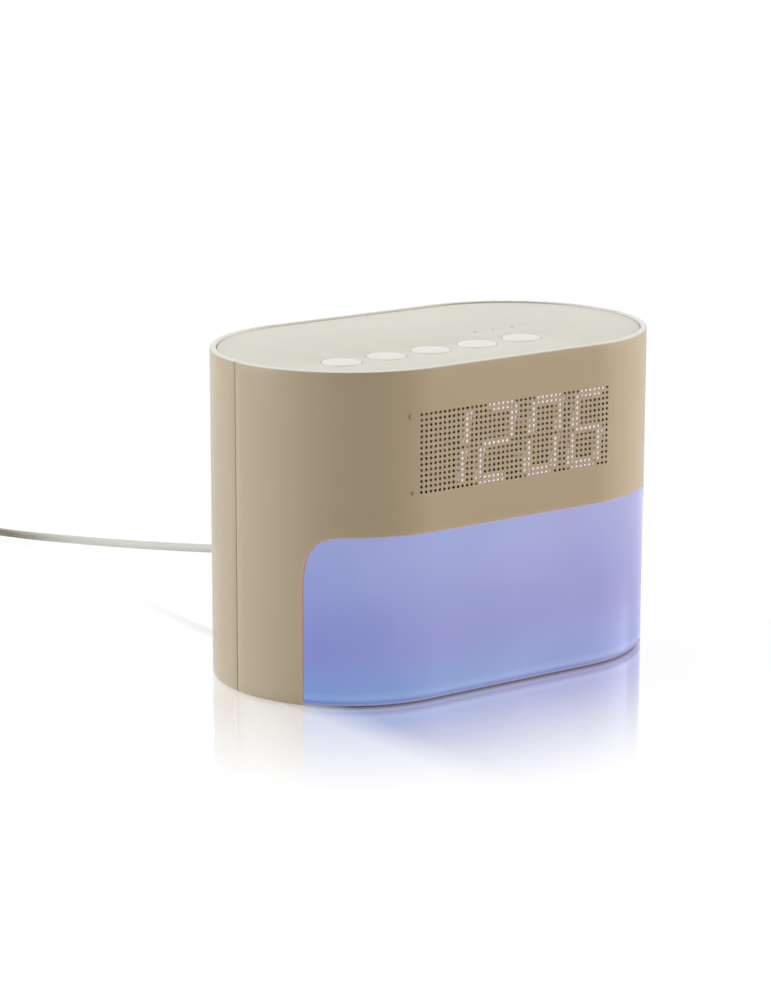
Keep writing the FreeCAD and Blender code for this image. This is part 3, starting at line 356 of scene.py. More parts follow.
def lathe(name, profile, centre, axis="Z", segments=64, sharp=40.0):
    """Solid turned about an axis from (radius, height) points; a radius of 0 closes an end."""
    points = []
    rings = []
    for radius, height in profile:
        start = len(points)
        count = 1 if radius == 0 else segments
        for k in range(count):
            turn = 2 * math.pi * k / segments
            a = radius * math.cos(turn)
            b = radius * math.sin(turn)
            if axis == "Z":
                points.append((centre[0] + a, centre[1] + b, centre[2] + height))
            else:
                points.append((centre[0] - a, centre[1] + height, centre[2] + b))
        rings.append(range(start, start + count))
    faces = []
    for low, high in zip(rings, rings[1:]):
        for k in range(segments):
            a, b = low[k % len(low)], low[(k + 1) % len(low)]
            c, d = high[(k + 1) % len(high)], high[k % len(high)]
            ring = list(dict.fromkeys((a, b, c, d)))
            if len(ring) > 2:
                faces.append(ring)
    return add_mesh(name, points, faces, sharp)


def circle(x, y, radius, count):
    turns = [2 * math.pi * k / count for k in range(count)]
    return [(x + radius * math.cos(t), y + radius * math.sin(t)) for t in turns]


def arc(x, z, radius, start, end, count=14):
    turns = [math.radians(a) for a in spread(start, end, count)]
    return [(x + radius * math.cos(t), z + radius * math.sin(t)) for t in turns]


def fill(outline, holes):
    """Triangles between an outline and round holes in it, all lists of points in a plane."""
    loops = [outline] + holes
    points = [Vector(p) for loop in loops for p in loop]
    edges = []
    start = 0
    for loop in loops:
        edges += [(start + k, start + (k + 1) % len(loop)) for k in range(len(loop))]
        start += len(loop)
    verts, _, faces, *_ = delaunay_2d_cdt(points, edges, [], 1, 1e-7)
    circles = []
    for loop in holes:
        middle = sum((Vector(p) for p in loop), Vector((0, 0))) / len(loop)
        circles.append((middle, (Vector(loop[0]) - middle).length * 0.98))
    kept = []
    for f in faces:
        middle = sum((verts[c] for c in f), Vector((0, 0))) / len(f)
        if all((middle - c).length > r for c, r in circles):
            kept.append(list(f))
    return [tuple(v) for v in verts], kept


# Housing outline laid out flat


def window_corner(count=16):
    """Soft upper corner of the lamp window at its right end, from its top edge to its side edge."""
    poles = [
        (-CORNER_WIDE, LAMP_TOP),
        (-CORNER_PULL_WIDE, LAMP_TOP),
        (0, LAMP_TOP - CORNER_PULL_TALL),
        (0, LAMP_TOP - CORNER_TALL),
    ]
    points = []
    for k in range(count + 1):
        t = k / count
        shares = ((1 - t) ** 3, 3 * t * (1 - t) ** 2, 3 * t**2 * (1 - t), t**3)
        x = sum(w * p[0] for w, p in zip(shares, poles))
        z = sum(w * p[1] for w, p in zip(shares, poles))
        points.append((LAMP_SIDE + END_RADIUS * math.asin(x / END_RADIUS), z))
    return points


def corner_normals(points):
    """Directions square to the corner's curve, away from the window."""
    normals = []
    for k in range(len(points)):
        before = points[max(k - 1, 0)]
        after = points[min(k + 1, len(points) - 1)]
        dx, dz = after[0] - before[0], after[1] - before[1]
        size = math.hypot(dx, dz)
        normals.append((-dz / size, dx / size))
    normals[0] = (0.0, 1.0)
    normals[-1] = (1.0, 0.0)
    return normals


CORNER = window_corner()
CORNER_NORMALS = corner_normals(CORNER)
CORNER_LOW = LAMP_TOP - CORNER_TALL


def offset_corner(distance, side):
    """The corner's curve moved away from the window, on the right (1) or left (-1)."""
    return [
        (side * (p[0] + n[0] * distance), p[1] + n[1] * distance)
        for p, n in zip(CORNER, CORNER_NORMALS)
    ]


def field_edges():
    half_wide = DOT_COLUMNS * DOT_PITCH / 2
    half_tall = DOT_ROWS * DOT_PITCH / 2
    return (
        DOT_MIDDLE_X - half_wide,
        DOT_MIDDLE_X + half_wide,
        DOT_MIDDLE_Z - half_tall,
        DOT_MIDDLE_Z + half_tall,
    )


FIELD_LEFT, FIELD_RIGHT, FIELD_LOW, FIELD_HIGH = field_edges()
SEAM_FRONT = END_CENTRE + END_RADIUS * math.acos((-SEAM_Y + SEAM_GAP / 2) / END_RADIUS)
SEAM_REAR = END_CENTRE + END_RADIUS * math.acos((SEAM_Y + SEAM_GAP / 2) / END_RADIUS)


def hem_stations(top, count, radius=HEM_ROUND, steps=4):
    """Heights from the lower edge up, close together where it is rounded."""
    return [HEM + d for d in round_steps(radius, steps)] + spread(HEM + radius, top, count)[1:]


def rim_stations():
    return [HEIGHT - d for d in reversed(round_steps(RIM_ROUND))]


def side_stations():
    """Positions along the front wall from its seam to the last ring beside the window."""
    edge = [SEAM_FRONT - d for d in round_steps(SEAM_ROUND, 2)]
    return edge + spread(SEAM_FRONT - SEAM_ROUND, LAMP_SIDE + SPILL_RINGS[-1], 6)[1:]


def shell_drop(along, up, drop, seam):
    """How far the outer face lies below the plain wall, from all the rounded edges near a point."""
    low = round_drop(up - HEM, HEM_ROUND)
    rim = round_drop(HEIGHT - up, RIM_ROUND)
    side = round_drop(seam - abs(along), SEAM_ROUND)
    return max(drop, low, rim, side)


def dot_cell(sheet, column, row):
    """One perforation: its square of the wall with a round hole whose edge is slightly broken."""
    s0 = FIELD_LEFT + column * DOT_PITCH
    z0 = FIELD_LOW + row * DOT_PITCH
    half = DOT_PITCH / 2
    stations = ((0, 0), (1, 0), (2, 0), (2, 1), (2, 2), (1, 2), (0, 2), (0, 1))
    border = [sheet.point(s0 + a * half, z0 + b * half) for a, b in stations]
    rings = []
    for radius, drop in ((DOT_RADIUS + DOT_CHAMFER, 0), (DOT_RADIUS, DOT_CHAMFER)):
        ring = []
        for k in range(DOT_SIDES):
            turn = math.radians(360 / DOT_SIDES * k - 135)
            across, rise = radius * math.cos(turn), radius * math.sin(turn)
            ring.append(sheet.point(s0 + half + across, z0 + half + rise, drop))
        rings.append(ring)
    outer, inner = rings
    for k in range(len(border)):
        near = [outer[(2 * k + j) % DOT_SIDES] for j in (2, 1, 0)]
        sheet.face(border[k], border[(k + 1) % len(border)], *near)
    for k in range(DOT_SIDES):
        after = (k + 1) % DOT_SIDES
        sheet.face(outer[k], outer[after], inner[after], inner[k])


def front_columns():
    """Positions along the wall of the upper block's columns, from the left seam to the right."""
    side = side_stations() + [p[0] for p in reversed(offset_corner(SPILL_RINGS[-1], 1))][1:]
    halves = []
    for edge in (-FIELD_LEFT, FIELD_RIGHT):
        margin = edge + FIELD_MARGIN
        halves.append(side + spread(side[-1], margin + FIELD_STEP, 6)[1:] + [margin])
    left, right = halves
    return [-s for s in left] + spread(FIELD_LEFT, FIELD_RIGHT, 2 * DOT_COLUMNS) + right[::-1]


def column_foot(along):
    """Height at which an upper block's column ends, on the last ring round the window."""
    reach = SPILL_RINGS[-1]
    curve = offset_corner(reach, 1)
    s = abs(along)
    if s <= curve[0][0]:
        return LAMP_TOP + reach
    if s >= curve[-1][0]:
        return CORNER_LOW
    for a, b in zip(curve, curve[1:]):
        if a[0] <= s <= b[0]:
            return a[1] + (b[1] - a[1]) * (s - a[0]) / (b[0] - a[0])
    return CORNER_LOW


def front_heights():
    """Heights of the upper block's rows, from the field's lower margin to the rim."""
    margins = (FIELD_MARGIN / 2, FIELD_MARGIN, FIELD_MARGIN + FIELD_STEP)
    low = [FIELD_LOW - d for d in reversed(margins)]
    field = spread(FIELD_LOW, FIELD_HIGH, 2 * DOT_ROWS)
    high = [FIELD_HIGH + d for d in margins]
    rim = rim_stations()
    return low + field + high + spread(high[-1], rim[0], 4)[1:] + rim[1:]


def in_field(along, up):
    return FIELD_LEFT < along < FIELD_RIGHT and FIELD_LOW < up < FIELD_HIGH


def window_rings(sheet, steps, tops, lows, turn):
    """Strips that follow the window's edge up one side, over its top and down the other.

    Each step is a distance from the edge and a drop; turn is 1 outwards and -1 inwards.
    """
    rings = []
    for distance, drop in steps:
        left = offset_corner(distance, -1)
        right = offset_corner(distance, 1)
        ring = [sheet.point(left[-1][0], z, drop) for z in lows]
        ring += [sheet.point(*p, drop) for p in reversed(left)]
        ring += [sheet.point(s, left[0][1], drop) for s in tops]
        ring += [sheet.point(*p, drop) for p in right]
        ring += [sheet.point(right[-1][0], z, drop) for z in reversed(lows)]
        rings.append(ring)
    for near, far in zip(rings, rings[1:]):
        for k in range(len(near) - 1):
            corners = (near[k], near[k + 1], far[k + 1], far[k])
            sheet.face(*corners[::turn])


def front_sheet():
    sheet = Sheet()
    columns = []
    heights = front_heights()
    for s in front_columns():
        column = [sheet.point(s, z) for z in spread(column_foot(s), heights[0], 6)[:-1]]
        columns.append(column + [sheet.point(s, z) for z in heights])
    sheet.grid(columns, in_field)
    for column in range(DOT_COLUMNS):
        for row in range(DOT_ROWS):
            dot_cell(sheet, column, row)
    straight = CORNER[0][0] - 0.001
    tops = [s for s in front_columns() if abs(s) < straight]
    lows = hem_stations(CORNER_LOW, 10)
    distances = round_steps(WINDOW_ROUND) + list(SPILL_RINGS)
    window_rings(sheet, [(d, round_drop(d, WINDOW_ROUND)) for d in distances], tops, lows[:-1], 1)
    for side in (-1, 1):
        sheet.grid([[sheet.point(side * s, z) for z in lows] for s in side_stations()[::-side]])
    return sheet


def front_inner(along, up, drop):
    """Depth of the front shell's inner face, thinner behind the perforated field."""
    reach = FIELD_MARGIN + FIELD_STEP / 10
    wide = FIELD_LEFT - reach < along < FIELD_RIGHT + reach
    tall = FIELD_LOW - reach < up < FIELD_HIGH + reach
    if wide and tall:
        return FIELD_WALL
    return WALL - round_drop(HEIGHT - up, RIM_ROUND)


def window_distance(along, up):
    """Distance from a point of the front wall to the lamp window's edge."""
    s = abs(along)
    best = LAMP_SIDE * 4
    if s <= CORNER[0][0]:
        best = abs(up - LAMP_TOP)
    if up <= CORNER_LOW:
        best = min(best, abs(s - LAMP_SIDE))
    for p in CORNER:
        best = min(best, math.hypot(s - p[0], up - p[1]))
    return best


def store_spill(obj, count, places):
    """Writes to the mesh how close each point is to the lamp, for the glow in the plastic."""
    layer = obj.data.attributes.new("spill", "FLOAT", "POINT")
    for k, (along, up) in enumerate(places):
        near = math.exp(-window_distance(along, up) / SPILL_FADE)
        layer.data[k].value = near
        layer.data[k + count].value = near


def build_front_shell():
    sheet = front_sheet()
    shell = sheet.solid(
        "front_shell_moulded",
        lambda s, z, d: shell_drop(s, z, d, SEAM_FRONT),
        front_inner,
    )
    store_spill(shell, len(sheet.points), sheet.points)
    return shell


def build_front_ledge():
    return band("front_panel_ledge", -SEAM_FRONT, SEAM_FRONT, *LEDGE_HEIGHTS, WALL, WALL + LEDGE_DEPTH)


# Rear shell


def grille_centres():
    centres = [(0.0, GRILLE_Z)]
    for ring in range(1, GRILLE_RINGS):
        for step in range(6 * ring):
            turn = 2 * math.pi * step / (6 * ring)
            across = ring * GRILLE_PITCH * math.cos(turn)
            centres.append((across, GRILLE_Z + ring * GRILLE_PITCH * math.sin(turn)))
    return centres


def in_grille(along, up):
    return abs(along) < GRILLE_PATCH and abs(up - GRILLE_Z) < GRILLE_PATCH


def rear_sheet():
    sheet = Sheet()
    right = [SEAM_REAR - d for d in round_steps(SEAM_ROUND, 2)]
    right += spread(SEAM_REAR - SEAM_ROUND, END_CENTRE, 26)[1:]
    right += spread(END_CENTRE, GRILLE_PATCH, 3)[1:]
    along = [-s for s in right] + spread(-GRILLE_PATCH, GRILLE_PATCH, 10)[1:-1] + right[::-1]
    low, high = GRILLE_Z - GRILLE_PATCH, GRILLE_Z + GRILLE_PATCH
    rim = rim_stations()
    heights = hem_stations(low, 8) + spread(low, high, 10)[1:-1] + spread(high, rim[0], 5) + rim[1:]
    sheet.grid([[sheet.point(s, z) for z in heights] for s in along], in_grille)
    ring = [(s, low) for s in spread(-GRILLE_PATCH, GRILLE_PATCH, 10)]
    ring += [(GRILLE_PATCH, z) for z in spread(low, high, 10)[1:]]
    ring += [(s, high) for s in spread(GRILLE_PATCH, -GRILLE_PATCH, 10)[1:]]
    ring += [(-GRILLE_PATCH, z) for z in spread(high, low, 10)[1:-1]]
    holes = [circle(x, z, GRILLE_HOLE + GRILLE_CHAMFER, GRILLE_SIDES) for x, z in grille_centres()]
    points, faces = fill(ring, holes)
    numbers = [sheet.point(*p) for p in points]
    for f in faces:
        sheet.face(*[numbers[c] for c in f])
    for (x, z), hole in zip(grille_centres(), holes):
        outer = [sheet.point(*p) for p in hole]
        inner = [sheet.point(*p, GRILLE_CHAMFER) for p in circle(x, z, GRILLE_HOLE, GRILLE_SIDES)]
        for k in range(GRILLE_SIDES):
            after = (k + 1) % GRILLE_SIDES
            sheet.face(outer[k], outer[after], inner[after], inner[k])
    return sheet


def build_rear_shell():
    return rear_sheet().solid(
        "rear_shell_moulded",
        lambda s, z, d: shell_drop(s, z, d, SEAM_REAR),
        lambda s, z, d: WALL - round_drop(HEIGHT - z, RIM_ROUND),
        turned=True,
    )


def build_rear_lips():
    """Ledge below the top panel and the lips that slide into the front shell."""
    root, reach = SEAM_REAR - LIP_ROOT, SEAM_REAR + LIP_REACH
    lip = (*LIP_HEIGHTS, WALL, WALL + LIP_DEPTH, True, 4)
    parts = [
        band("rear_panel_ledge", -SEAM_REAR, SEAM_REAR, *LEDGE_HEIGHTS, WALL, WALL + LEDGE_DEPTH, True),
        band("rear_lip_left", root, reach, *lip),
        band("rear_lip_right", -reach, -root, *lip),
    ]
    return join("rear_shell_lips", parts)


# Lamp panel


def lamp_sheet():
    """The lit panel: strips that round its edge, then columns down to its rounded foot."""
    sheet = Sheet()
    tops = spread(-CORNER[0][0], CORNER[0][0], 40)[1:-1]
    lows = hem_stations(CORNER_LOW, 14, LAMP_HEM_ROUND, 8)
    steps = [(-LAMP_GAP - d, round_drop(d, LAMP_EDGE_ROUND)) for d in round_steps(LAMP_EDGE_ROUND)]
    window_rings(sheet, steps, tops, lows[:-1], -1)
    last = -LAMP_GAP - LAMP_EDGE_ROUND
    heads = offset_corner(last, -1)[::-1]
    heads += [(s, LAMP_TOP + last) for s in tops]
    heads += offset_corner(last, 1)
    columns = []
    for s, z in heads:
        if z > CORNER_LOW:
            upper = [sheet.point(s, h) for h in spread(CORNER_LOW, z, 10)[1:]]
        else:
            upper = [sheet.point(s, CORNER_LOW)] * 10
        columns.append([sheet.point(s, h) for h in lows] + upper)
    sheet.grid(columns)
    return sheet


def build_lamp():
    sheet = lamp_sheet()
    return sheet.solid(
        "lamp_panel",
        lambda s, z, d: LAMP_INSET + max(d, round_drop(z - HEM, LAMP_HEM_ROUND)),
        lambda s, z, d: LAMP_BACK,
    )


# Top panel, buttons and indicator pins


def stadium_ring(inset, count=48):
    """The housing's outline in plan, as points a distance inside its wall."""
    radius = END_RADIUS - inset
    points = []
    for side, start in ((1, -90), (-1, 90)):
        for k in range(count + 1):
            turn = math.radians(start + 180 * k / count)
            points.append((side * END_CENTRE + radius * math.cos(turn), radius * math.sin(turn)))
    return points


def build_top_panel():
    holes = [(x, BUTTON_Y, BUTTON_HOLE, 64) for x in BUTTON_XS]
    holes += [(x, PIN_Y, PIN_RADIUS + PIN_GAP, 24) for x in PIN_XS]
    rings = []
    for step in round_steps(PANEL_ROUND, 3):
        loops = [stadium_ring(PANEL_INSET + step)]
        loops += [circle(x, y, r + min(step, HOLE_ROUND_SHARE * r), n) for x, y, r, n in holes]
        rings.append((loops, round_drop(step, PANEL_ROUND)))
    flat, triangles = fill(rings[-1][0][0], rings[-1][0][1:])
    sizes = [len(loop) for loop in rings[-1][0]]
    points = [(x, y, PANEL_TOP) for x, y in flat]
    inner = list(range(sum(sizes)))
    faces = [list(t) for t in triangles]
    for loops, drop in reversed(rings[:-1]):
        outer = []
        for loop in loops:
            for x, y in loop:
                outer.append(len(points))
                points.append((x, y, PANEL_TOP - drop))
        faces += loop_strips(outer, inner, sizes)
        inner = outer
    low = []
    for k in inner:
        low.append(len(points))
        points.append((points[k][0], points[k][1], PANEL_TOP - PANEL_THICK))
    faces += loop_strips(low, inner, sizes)
    faces += [[low[c] for c in reversed(t)] for t in triangles]
    return add_mesh("top_panel_moulded", points, faces)


def loop_strips(outer, inner, sizes):
    """Quads between matching loops; the first loop is an outline, the rest are holes in it."""
    faces = []
    start = 0
    for number, size in enumerate(sizes):
        for k in range(size):
            a, b = start + k, start + (k + 1) % size
            quad = [outer[a], outer[b], inner[b], inner[a]]
            faces.append(quad if number == 0 else quad[::-1])
        start += size
    return faces


def build_button(number):
    """Cap with a softly rounded edge, its collar below the panel and its stem."""
    rise = BUTTON_TOP - BUTTON_FOOT
    profile = list(BUTTON_LOWER)
    for turn in spread(0, math.pi / 2, 6):
        radius = BUTTON_RADIUS - BUTTON_EDGE * (1 - math.cos(turn))
        profile.append((radius, rise - BUTTON_EDGE * (1 - math.sin(turn))))
    profile += [(r, rise + BUTTON_CROWN * (1 - r / BUTTON_RADIUS)) for r in (6.0, 4.0, 2.0, 0)]
    button = lathe(f"button_cap_{number + 1}", profile, (0, 0, 0))
    lean, heading = (math.radians(a) for a in BUTTON_TILTS[number])
    slope = math.tan(lean) * Vector((math.cos(heading), math.sin(heading)))
    for v in button.data.vertices:
        if v.co.z > BUTTON_TILT_FROM * MM:
            v.co.z += slope.dot(v.co.xy)
        v.co += Vector((BUTTON_XS[number], BUTTON_Y, BUTTON_FOOT)) * MM
    return button


def build_pins():
    parts = [lathe("pin", PIN_PROFILE, (x, PIN_Y, 0), segments=24) for x in PIN_XS]
    return join("indicator_pins", parts)


# Display strokes and the small marks beside the display


def level_stroke(middle, z, upwards):
    half = STROKE_WIDTH / 2
    reach = DIGIT_WIDTH / 2 - STROKE_GAP
    short = reach - half
    steps = ((-reach, half), (reach, half), (short, -half), (-short, -half))
    return [(middle + across, z + upwards * up) for across, up in steps]


def upright_stroke(x, low, high, inwards):
    half = STROKE_WIDTH / 2
    inner, outer = x + inwards * half, x - inwards * half
    return [(outer, low), (inner, low + half), (inner, high - half), (outer, high)]


def middle_stroke(middle):
    half = STROKE_WIDTH / 2
    reach = DIGIT_WIDTH / 2 - STROKE_GAP
    short = reach - half
    steps = ((-reach, 0), (-short, half), (short, half), (reach, 0), (short, -half), (-short, -half))
    return [(middle + across, DIGIT_MIDDLE_Z + up) for across, up in steps]


def digit_strokes(middle):
    reach = DIGIT_HEIGHT / 2 - STROKE_WIDTH / 2
    low, high = DIGIT_MIDDLE_Z - reach, DIGIT_MIDDLE_Z + reach
    strokes = [level_stroke(middle, low, -1), level_stroke(middle, high, 1), middle_stroke(middle)]
    for side in (-1, 1):
        x = middle + side * DIGIT_WIDTH / 2
        strokes.append(upright_stroke(x, low, DIGIT_MIDDLE_Z - STROKE_GAP, -side))
        strokes.append(upright_stroke(x, DIGIT_MIDDLE_Z + STROKE_GAP, high, -side))
    return strokes


def colon_dot(rise):
    half = STROKE_WIDTH / 2
    z = DIGIT_MIDDLE_Z + rise
    return [(COLON_X + a * half, z + b * half) for a, b in ((-1, -1), (1, -1), (1, 1), (-1, 1))]


def winding(outline):
    """1 for an outline that turns to the left and -1 for one that turns to the right."""
    area = sum(a[0] * b[1] - b[0] * a[1] for a, b in zip(outline, outline[1:] + outline[:1]))
    return 1 if area > 0 else -1


def grown(outline, distance):
    """An outline with every side moved outwards."""
    sign = winding(outline)
    moved = []
    for k, place in enumerate(outline):
        before = (Vector(place) - Vector(outline[k - 1])).normalized()
        after = (Vector(outline[(k + 1) % len(outline)]) - Vector(place)).normalized()
        normals = [Vector((side.y, -side.x)) * sign for side in (before, after)]
        middle = (normals[0] + normals[1]).normalized()
        moved.append(tuple(Vector(place) + middle * distance / max(middle.dot(normals[0]), 0.5)))
    return moved


def build_strokes(name, outlines, front_y=STROKE_FRONT):
    """Slanted light guides, each a short prism behind the perforated wall."""
    points, faces = [], []
    slant = math.tan(math.radians(DIGIT_SLANT))
    for outline in outlines:
        start, count = len(points), len(outline)
        for y in (front_y, STROKE_BACK):
            points += [(x + (z - DIGIT_MIDDLE_Z) * slant, y, z) for x, z in outline]
        front = [start + k for k in range(count)][:: winding(outline)]
        back = [k + count for k in front]
        faces += [front, back[::-1]]
        faces += [[a, front[k - 1], back[k - 1], back[k]] for k, a in enumerate(front)]
    return add_mesh(name, points, faces)


def lit_outlines(lit):
    outlines = []
    for middle, strokes in zip(DIGIT_CENTRES, DIGITS_LIT):
        outlines += [o for k, o in enumerate(digit_strokes(middle)) if (k in strokes) == lit]
    return outlines


def build_mark(name, outlines):
    """A small printed sign: flat shapes that lie a hair proud of the front wall."""
    parts = []
    for outline in outlines:
        count = len(outline)
        points = []
        for depth in MARK_DEPTHS:
            points += [(*on_wall(s, depth), z) for s, z in outline]
        front = list(range(count))
        faces = [front, [k + count for k in reversed(front)]]
        faces += [[front[k - 1], front[k - 1] + count, k + count, k] for k in front]
        parts.append(add_mesh("mark_part", points, faces))
    return join(name, parts)


def moon_outline(x, z, size):
    outer = arc(x, z, size, 50, 310, 24)
    return outer + arc(x + 0.45 * size, z, 0.78 * size, 285, 75, 18)[1:-1]


def bell_outlines(x, z, size):
    dome = arc(x, z + 0.25 * size, 0.55 * size, 0, 180, 12)
    foot = [(x - 0.6 * size, z - 0.35 * size), (x - 0.85 * size, z - 0.6 * size)]
    body = dome + foot + [(2 * x - a, b) for a, b in reversed(foot)]
    return [body, arc(x, z - 0.72 * size, 0.24 * size, 180, 360, 8)]


# Power lead


def relief_profile():
    """Outline of the strain relief along the lead."""
    (start, end), (thick, thin) = RELIEF_TAPER, RELIEF_RADII
    profile = list(RELIEF_FLANGE)
    for k in range(RELIEF_GROOVES):
        for share, sunk in RELIEF_GROOVE:
            way = (k + share) / RELIEF_GROOVES
            profile.append((thick + way * (thin - thick) - sunk, start + way * (end - start)))
    return profile + list(RELIEF_TIP)


def build_relief():
    return lathe("lead_strain_relief", relief_profile(), (EXIT_X, 0, EXIT_Z), axis="Y", segments=48)


def rotated(x, y, degrees):
    turn = math.radians(degrees)
    return x * math.cos(turn) - y * math.sin(turn), x * math.sin(turn) + y * math.cos(turn)


def coil_place(x, y, z):
    """Point of the coil's own frame where the coil lies on the floor."""
    out_x, out_y = rotated(COIL_RADIUS, 0, COIL_HEADING)
    across, along = rotated(x, y, COIL_HEADING - 180)
    return COIL_ENTRY[0] - out_x + across, COIL_ENTRY[1] - out_y + along, z


def coil_points():
    """The coil's turns in four layers, winding inwards and out again."""
    points = []
    radius, z, step = COIL_RADIUS, COIL_BASE, -COIL_STEP
    halves = []
    for layer in range(COIL_LAYERS):
        for _ in range(COIL_HALVES):
            halves.append((radius, radius + step, z, z))
            radius += step
        if layer < COIL_LAYERS - 1:
            halves.append((radius, radius, z, z + COIL_LAYER))
            z += COIL_LAYER
        step = -step
    swell = 1 / math.cos(math.pi / 2 / COIL_POINTS)
    for number, (r0, r1, z0, z1) in enumerate(halves):
        for k in range(COIL_POINTS):
            share = k / COIL_POINTS
            turn = math.pi * (1 + number + share)
            ease = share * share * (3 - 2 * share)
            r = (r0 + (r1 - r0) * share) * swell
            points.append((r * math.cos(turn), r * math.sin(turn), z0 + (z1 - z0) * ease))
    return points


def build_lead():
    route = list(CORD_ROUTE) + [coil_place(*p) for p in coil_points() + list(COIL_END)]
    curve = bpy.data.curves.new("power_lead", "CURVE")
    curve.dimensions = "3D"
    spline = curve.splines.new("NURBS")
    spline.points.add(len(route) - 1)
    for point, place in zip(spline.points, route):
        point.co = (*(Vector(place) * MM), 1.0)
    spline.order_u = 3
    spline.use_endpoint_u = True
    spline.resolution_u = 4
    curve.bevel_depth = CORD_DIAMETER / 2 * MM
    curve.bevel_resolution = 4
    curve.use_fill_caps = True
    return add_object("power_lead", curve)


def lead_length(lead):
    """Length in metres of the lead's own line."""
    line = lead.copy()
    line.data = lead.data.copy()
    line.data.bevel_depth = 0
    mesh = bpy.data.meshes.new_from_object(line)
    places = [v.co.copy() for v in mesh.vertices]
    total = sum((places[a] - places[b]).length for a, b in (e.vertices for e in mesh.edges))
    bpy.data.meshes.remove(mesh)
    bpy.data.curves.remove(line.data)
    return total


# Plug grip and strap on the coil


def grip_stations():
    """The grip's sections, with shallow grooves across its broad faces for the fingers."""
    stations = list(GRIP_START)
    for k in range(GRIP_GROOVES):
        start = GRIP_GROOVES_START + k * GRIP_GROOVE_PITCH
        stations += [(start + t, *section) for t, *section in GRIP_GROOVE]
    return stations + list(GRIP_END)


def squared(value, power):
    return math.copysign(abs(value) ** (2 / power), value)


def build_grip():
    points, faces, count = [], [], GRIP_SIDES
    stations = grip_stations()
    for t, wide, thick, power in stations:
        for k in range(count):
            turn = 2 * math.pi * k / count
            x, z = wide * squared(math.cos(turn), power), thick * squared(math.sin(turn), power)
            points.append(coil_place(x, PLUG_START_Y - t, PLUG_AXIS_Z + z))
    last = (len(stations) - 1) * count
    for start in range(0, last, count):
        for k in range(count):
            after = (k + 1) % count
            faces.append([start + k, start + after, start + count + after, start + count + k])
    faces.append(list(range(count))[::-1])
    faces.append([k + last for k in range(count)])
    return add_mesh("plug_grip", points, faces, 50)


def strap_path(count=10):
    """Closed path round the bundle, on the strap's outer face, from the middle of its foot."""
    inner, outer, high = TIE_IN + TIE_ROUND, TIE_OUT - TIE_ROUND, TIE_TOP - TIE_ROUND
    shares = (0.25, 0.5, 0.75)
    path = [((TIE_IN + TIE_OUT) / 2, 0.0)]
    path += arc(outer, TIE_ROUND, TIE_ROUND, -90, 0, count)
    path += [(TIE_OUT, TIE_ROUND + (high - TIE_ROUND) * share) for share in shares]
    path += arc(outer, high, TIE_ROUND, 0, 90, count)
    path += [(outer + (inner - outer) * share, TIE_TOP) for share in shares]
    path += arc(inner, high, TIE_ROUND, 90, 180, count)
    path += [(TIE_IN, high + (TIE_ROUND - high) * share) for share in shares]
    return path + arc(inner, TIE_ROUND, TIE_ROUND, 180, 270, count)


def strap_strip(name, path, thick, closed):
    """A strap along a path: its face, its back, and edges that are a little thinner."""
    half = TIE_WIDTH / 2
    inset = half - TIE_EDGE_WIDE
    across = ((-half, TIE_EDGE_SUNK), (-inset, 0.0), (0, 0.0), (inset, 0.0), (half, TIE_EDGE_SUNK))
    points, faces, count = [], [], 2 * len(across)
    for k, place in enumerate(path):
        before = path[k - 1] if closed or k else path[0]
        after = path[(k + 1) % len(path)] if closed or k + 1 < len(path) else path[-1]
        along = (Vector(after) - Vector(before)).normalized()
        out = Vector((along.y, -along.x))
        row = [(y, sunk) for y, sunk in across] + [(y, thick - sunk) for y, sunk in reversed(across)]
        for y, sunk in row:
            x, z = Vector(place) - out * sunk
            points.append(coil_place(*rotated(x, y, TIE_ANGLE), max(z, TIE_LOWEST)))
    last = len(path) if closed else len(path) - 1
    for number in range(last):
        start, after = number * count, ((number + 1) % len(path)) * count
        for k in range(count):
            side = (k + 1) % count
            faces.append([start + k, after + k, after + side, start + side])
    if not closed:
        faces.append(list(range(count)))
        faces.append([k + last * count for k in reversed(range(count))])
    return add_mesh(name, points, faces, 35)


def build_strap():
    """The strap's loop, and its free end that laps over the top and down the outside."""
    loop = strap_strip("strap_loop", strap_path(), TIE_THICK, True)
    outer, high = TIE_OUT - TIE_ROUND, TIE_TOP - TIE_ROUND
    lap = [(TIE_OUT + TIE_THIN, high - TIE_LAP * share) for share in (1.0, 0.7, 0.4, 0.0)]
    lap += arc(outer, high, TIE_ROUND + TIE_THIN, 0, 90, 10)[1:]
    lap += [(outer - reach, TIE_TOP + TIE_THIN) for reach in TIE_TIP]
    return join("cord_strap", [loop, strap_strip("strap_end", lap, TIE_THIN, False)])


# Materials


# A mix node's factor and colour sockets by number, because several share a name
MIX_INPUTS = (0, 6, 7)
MIX_RESULT = 2


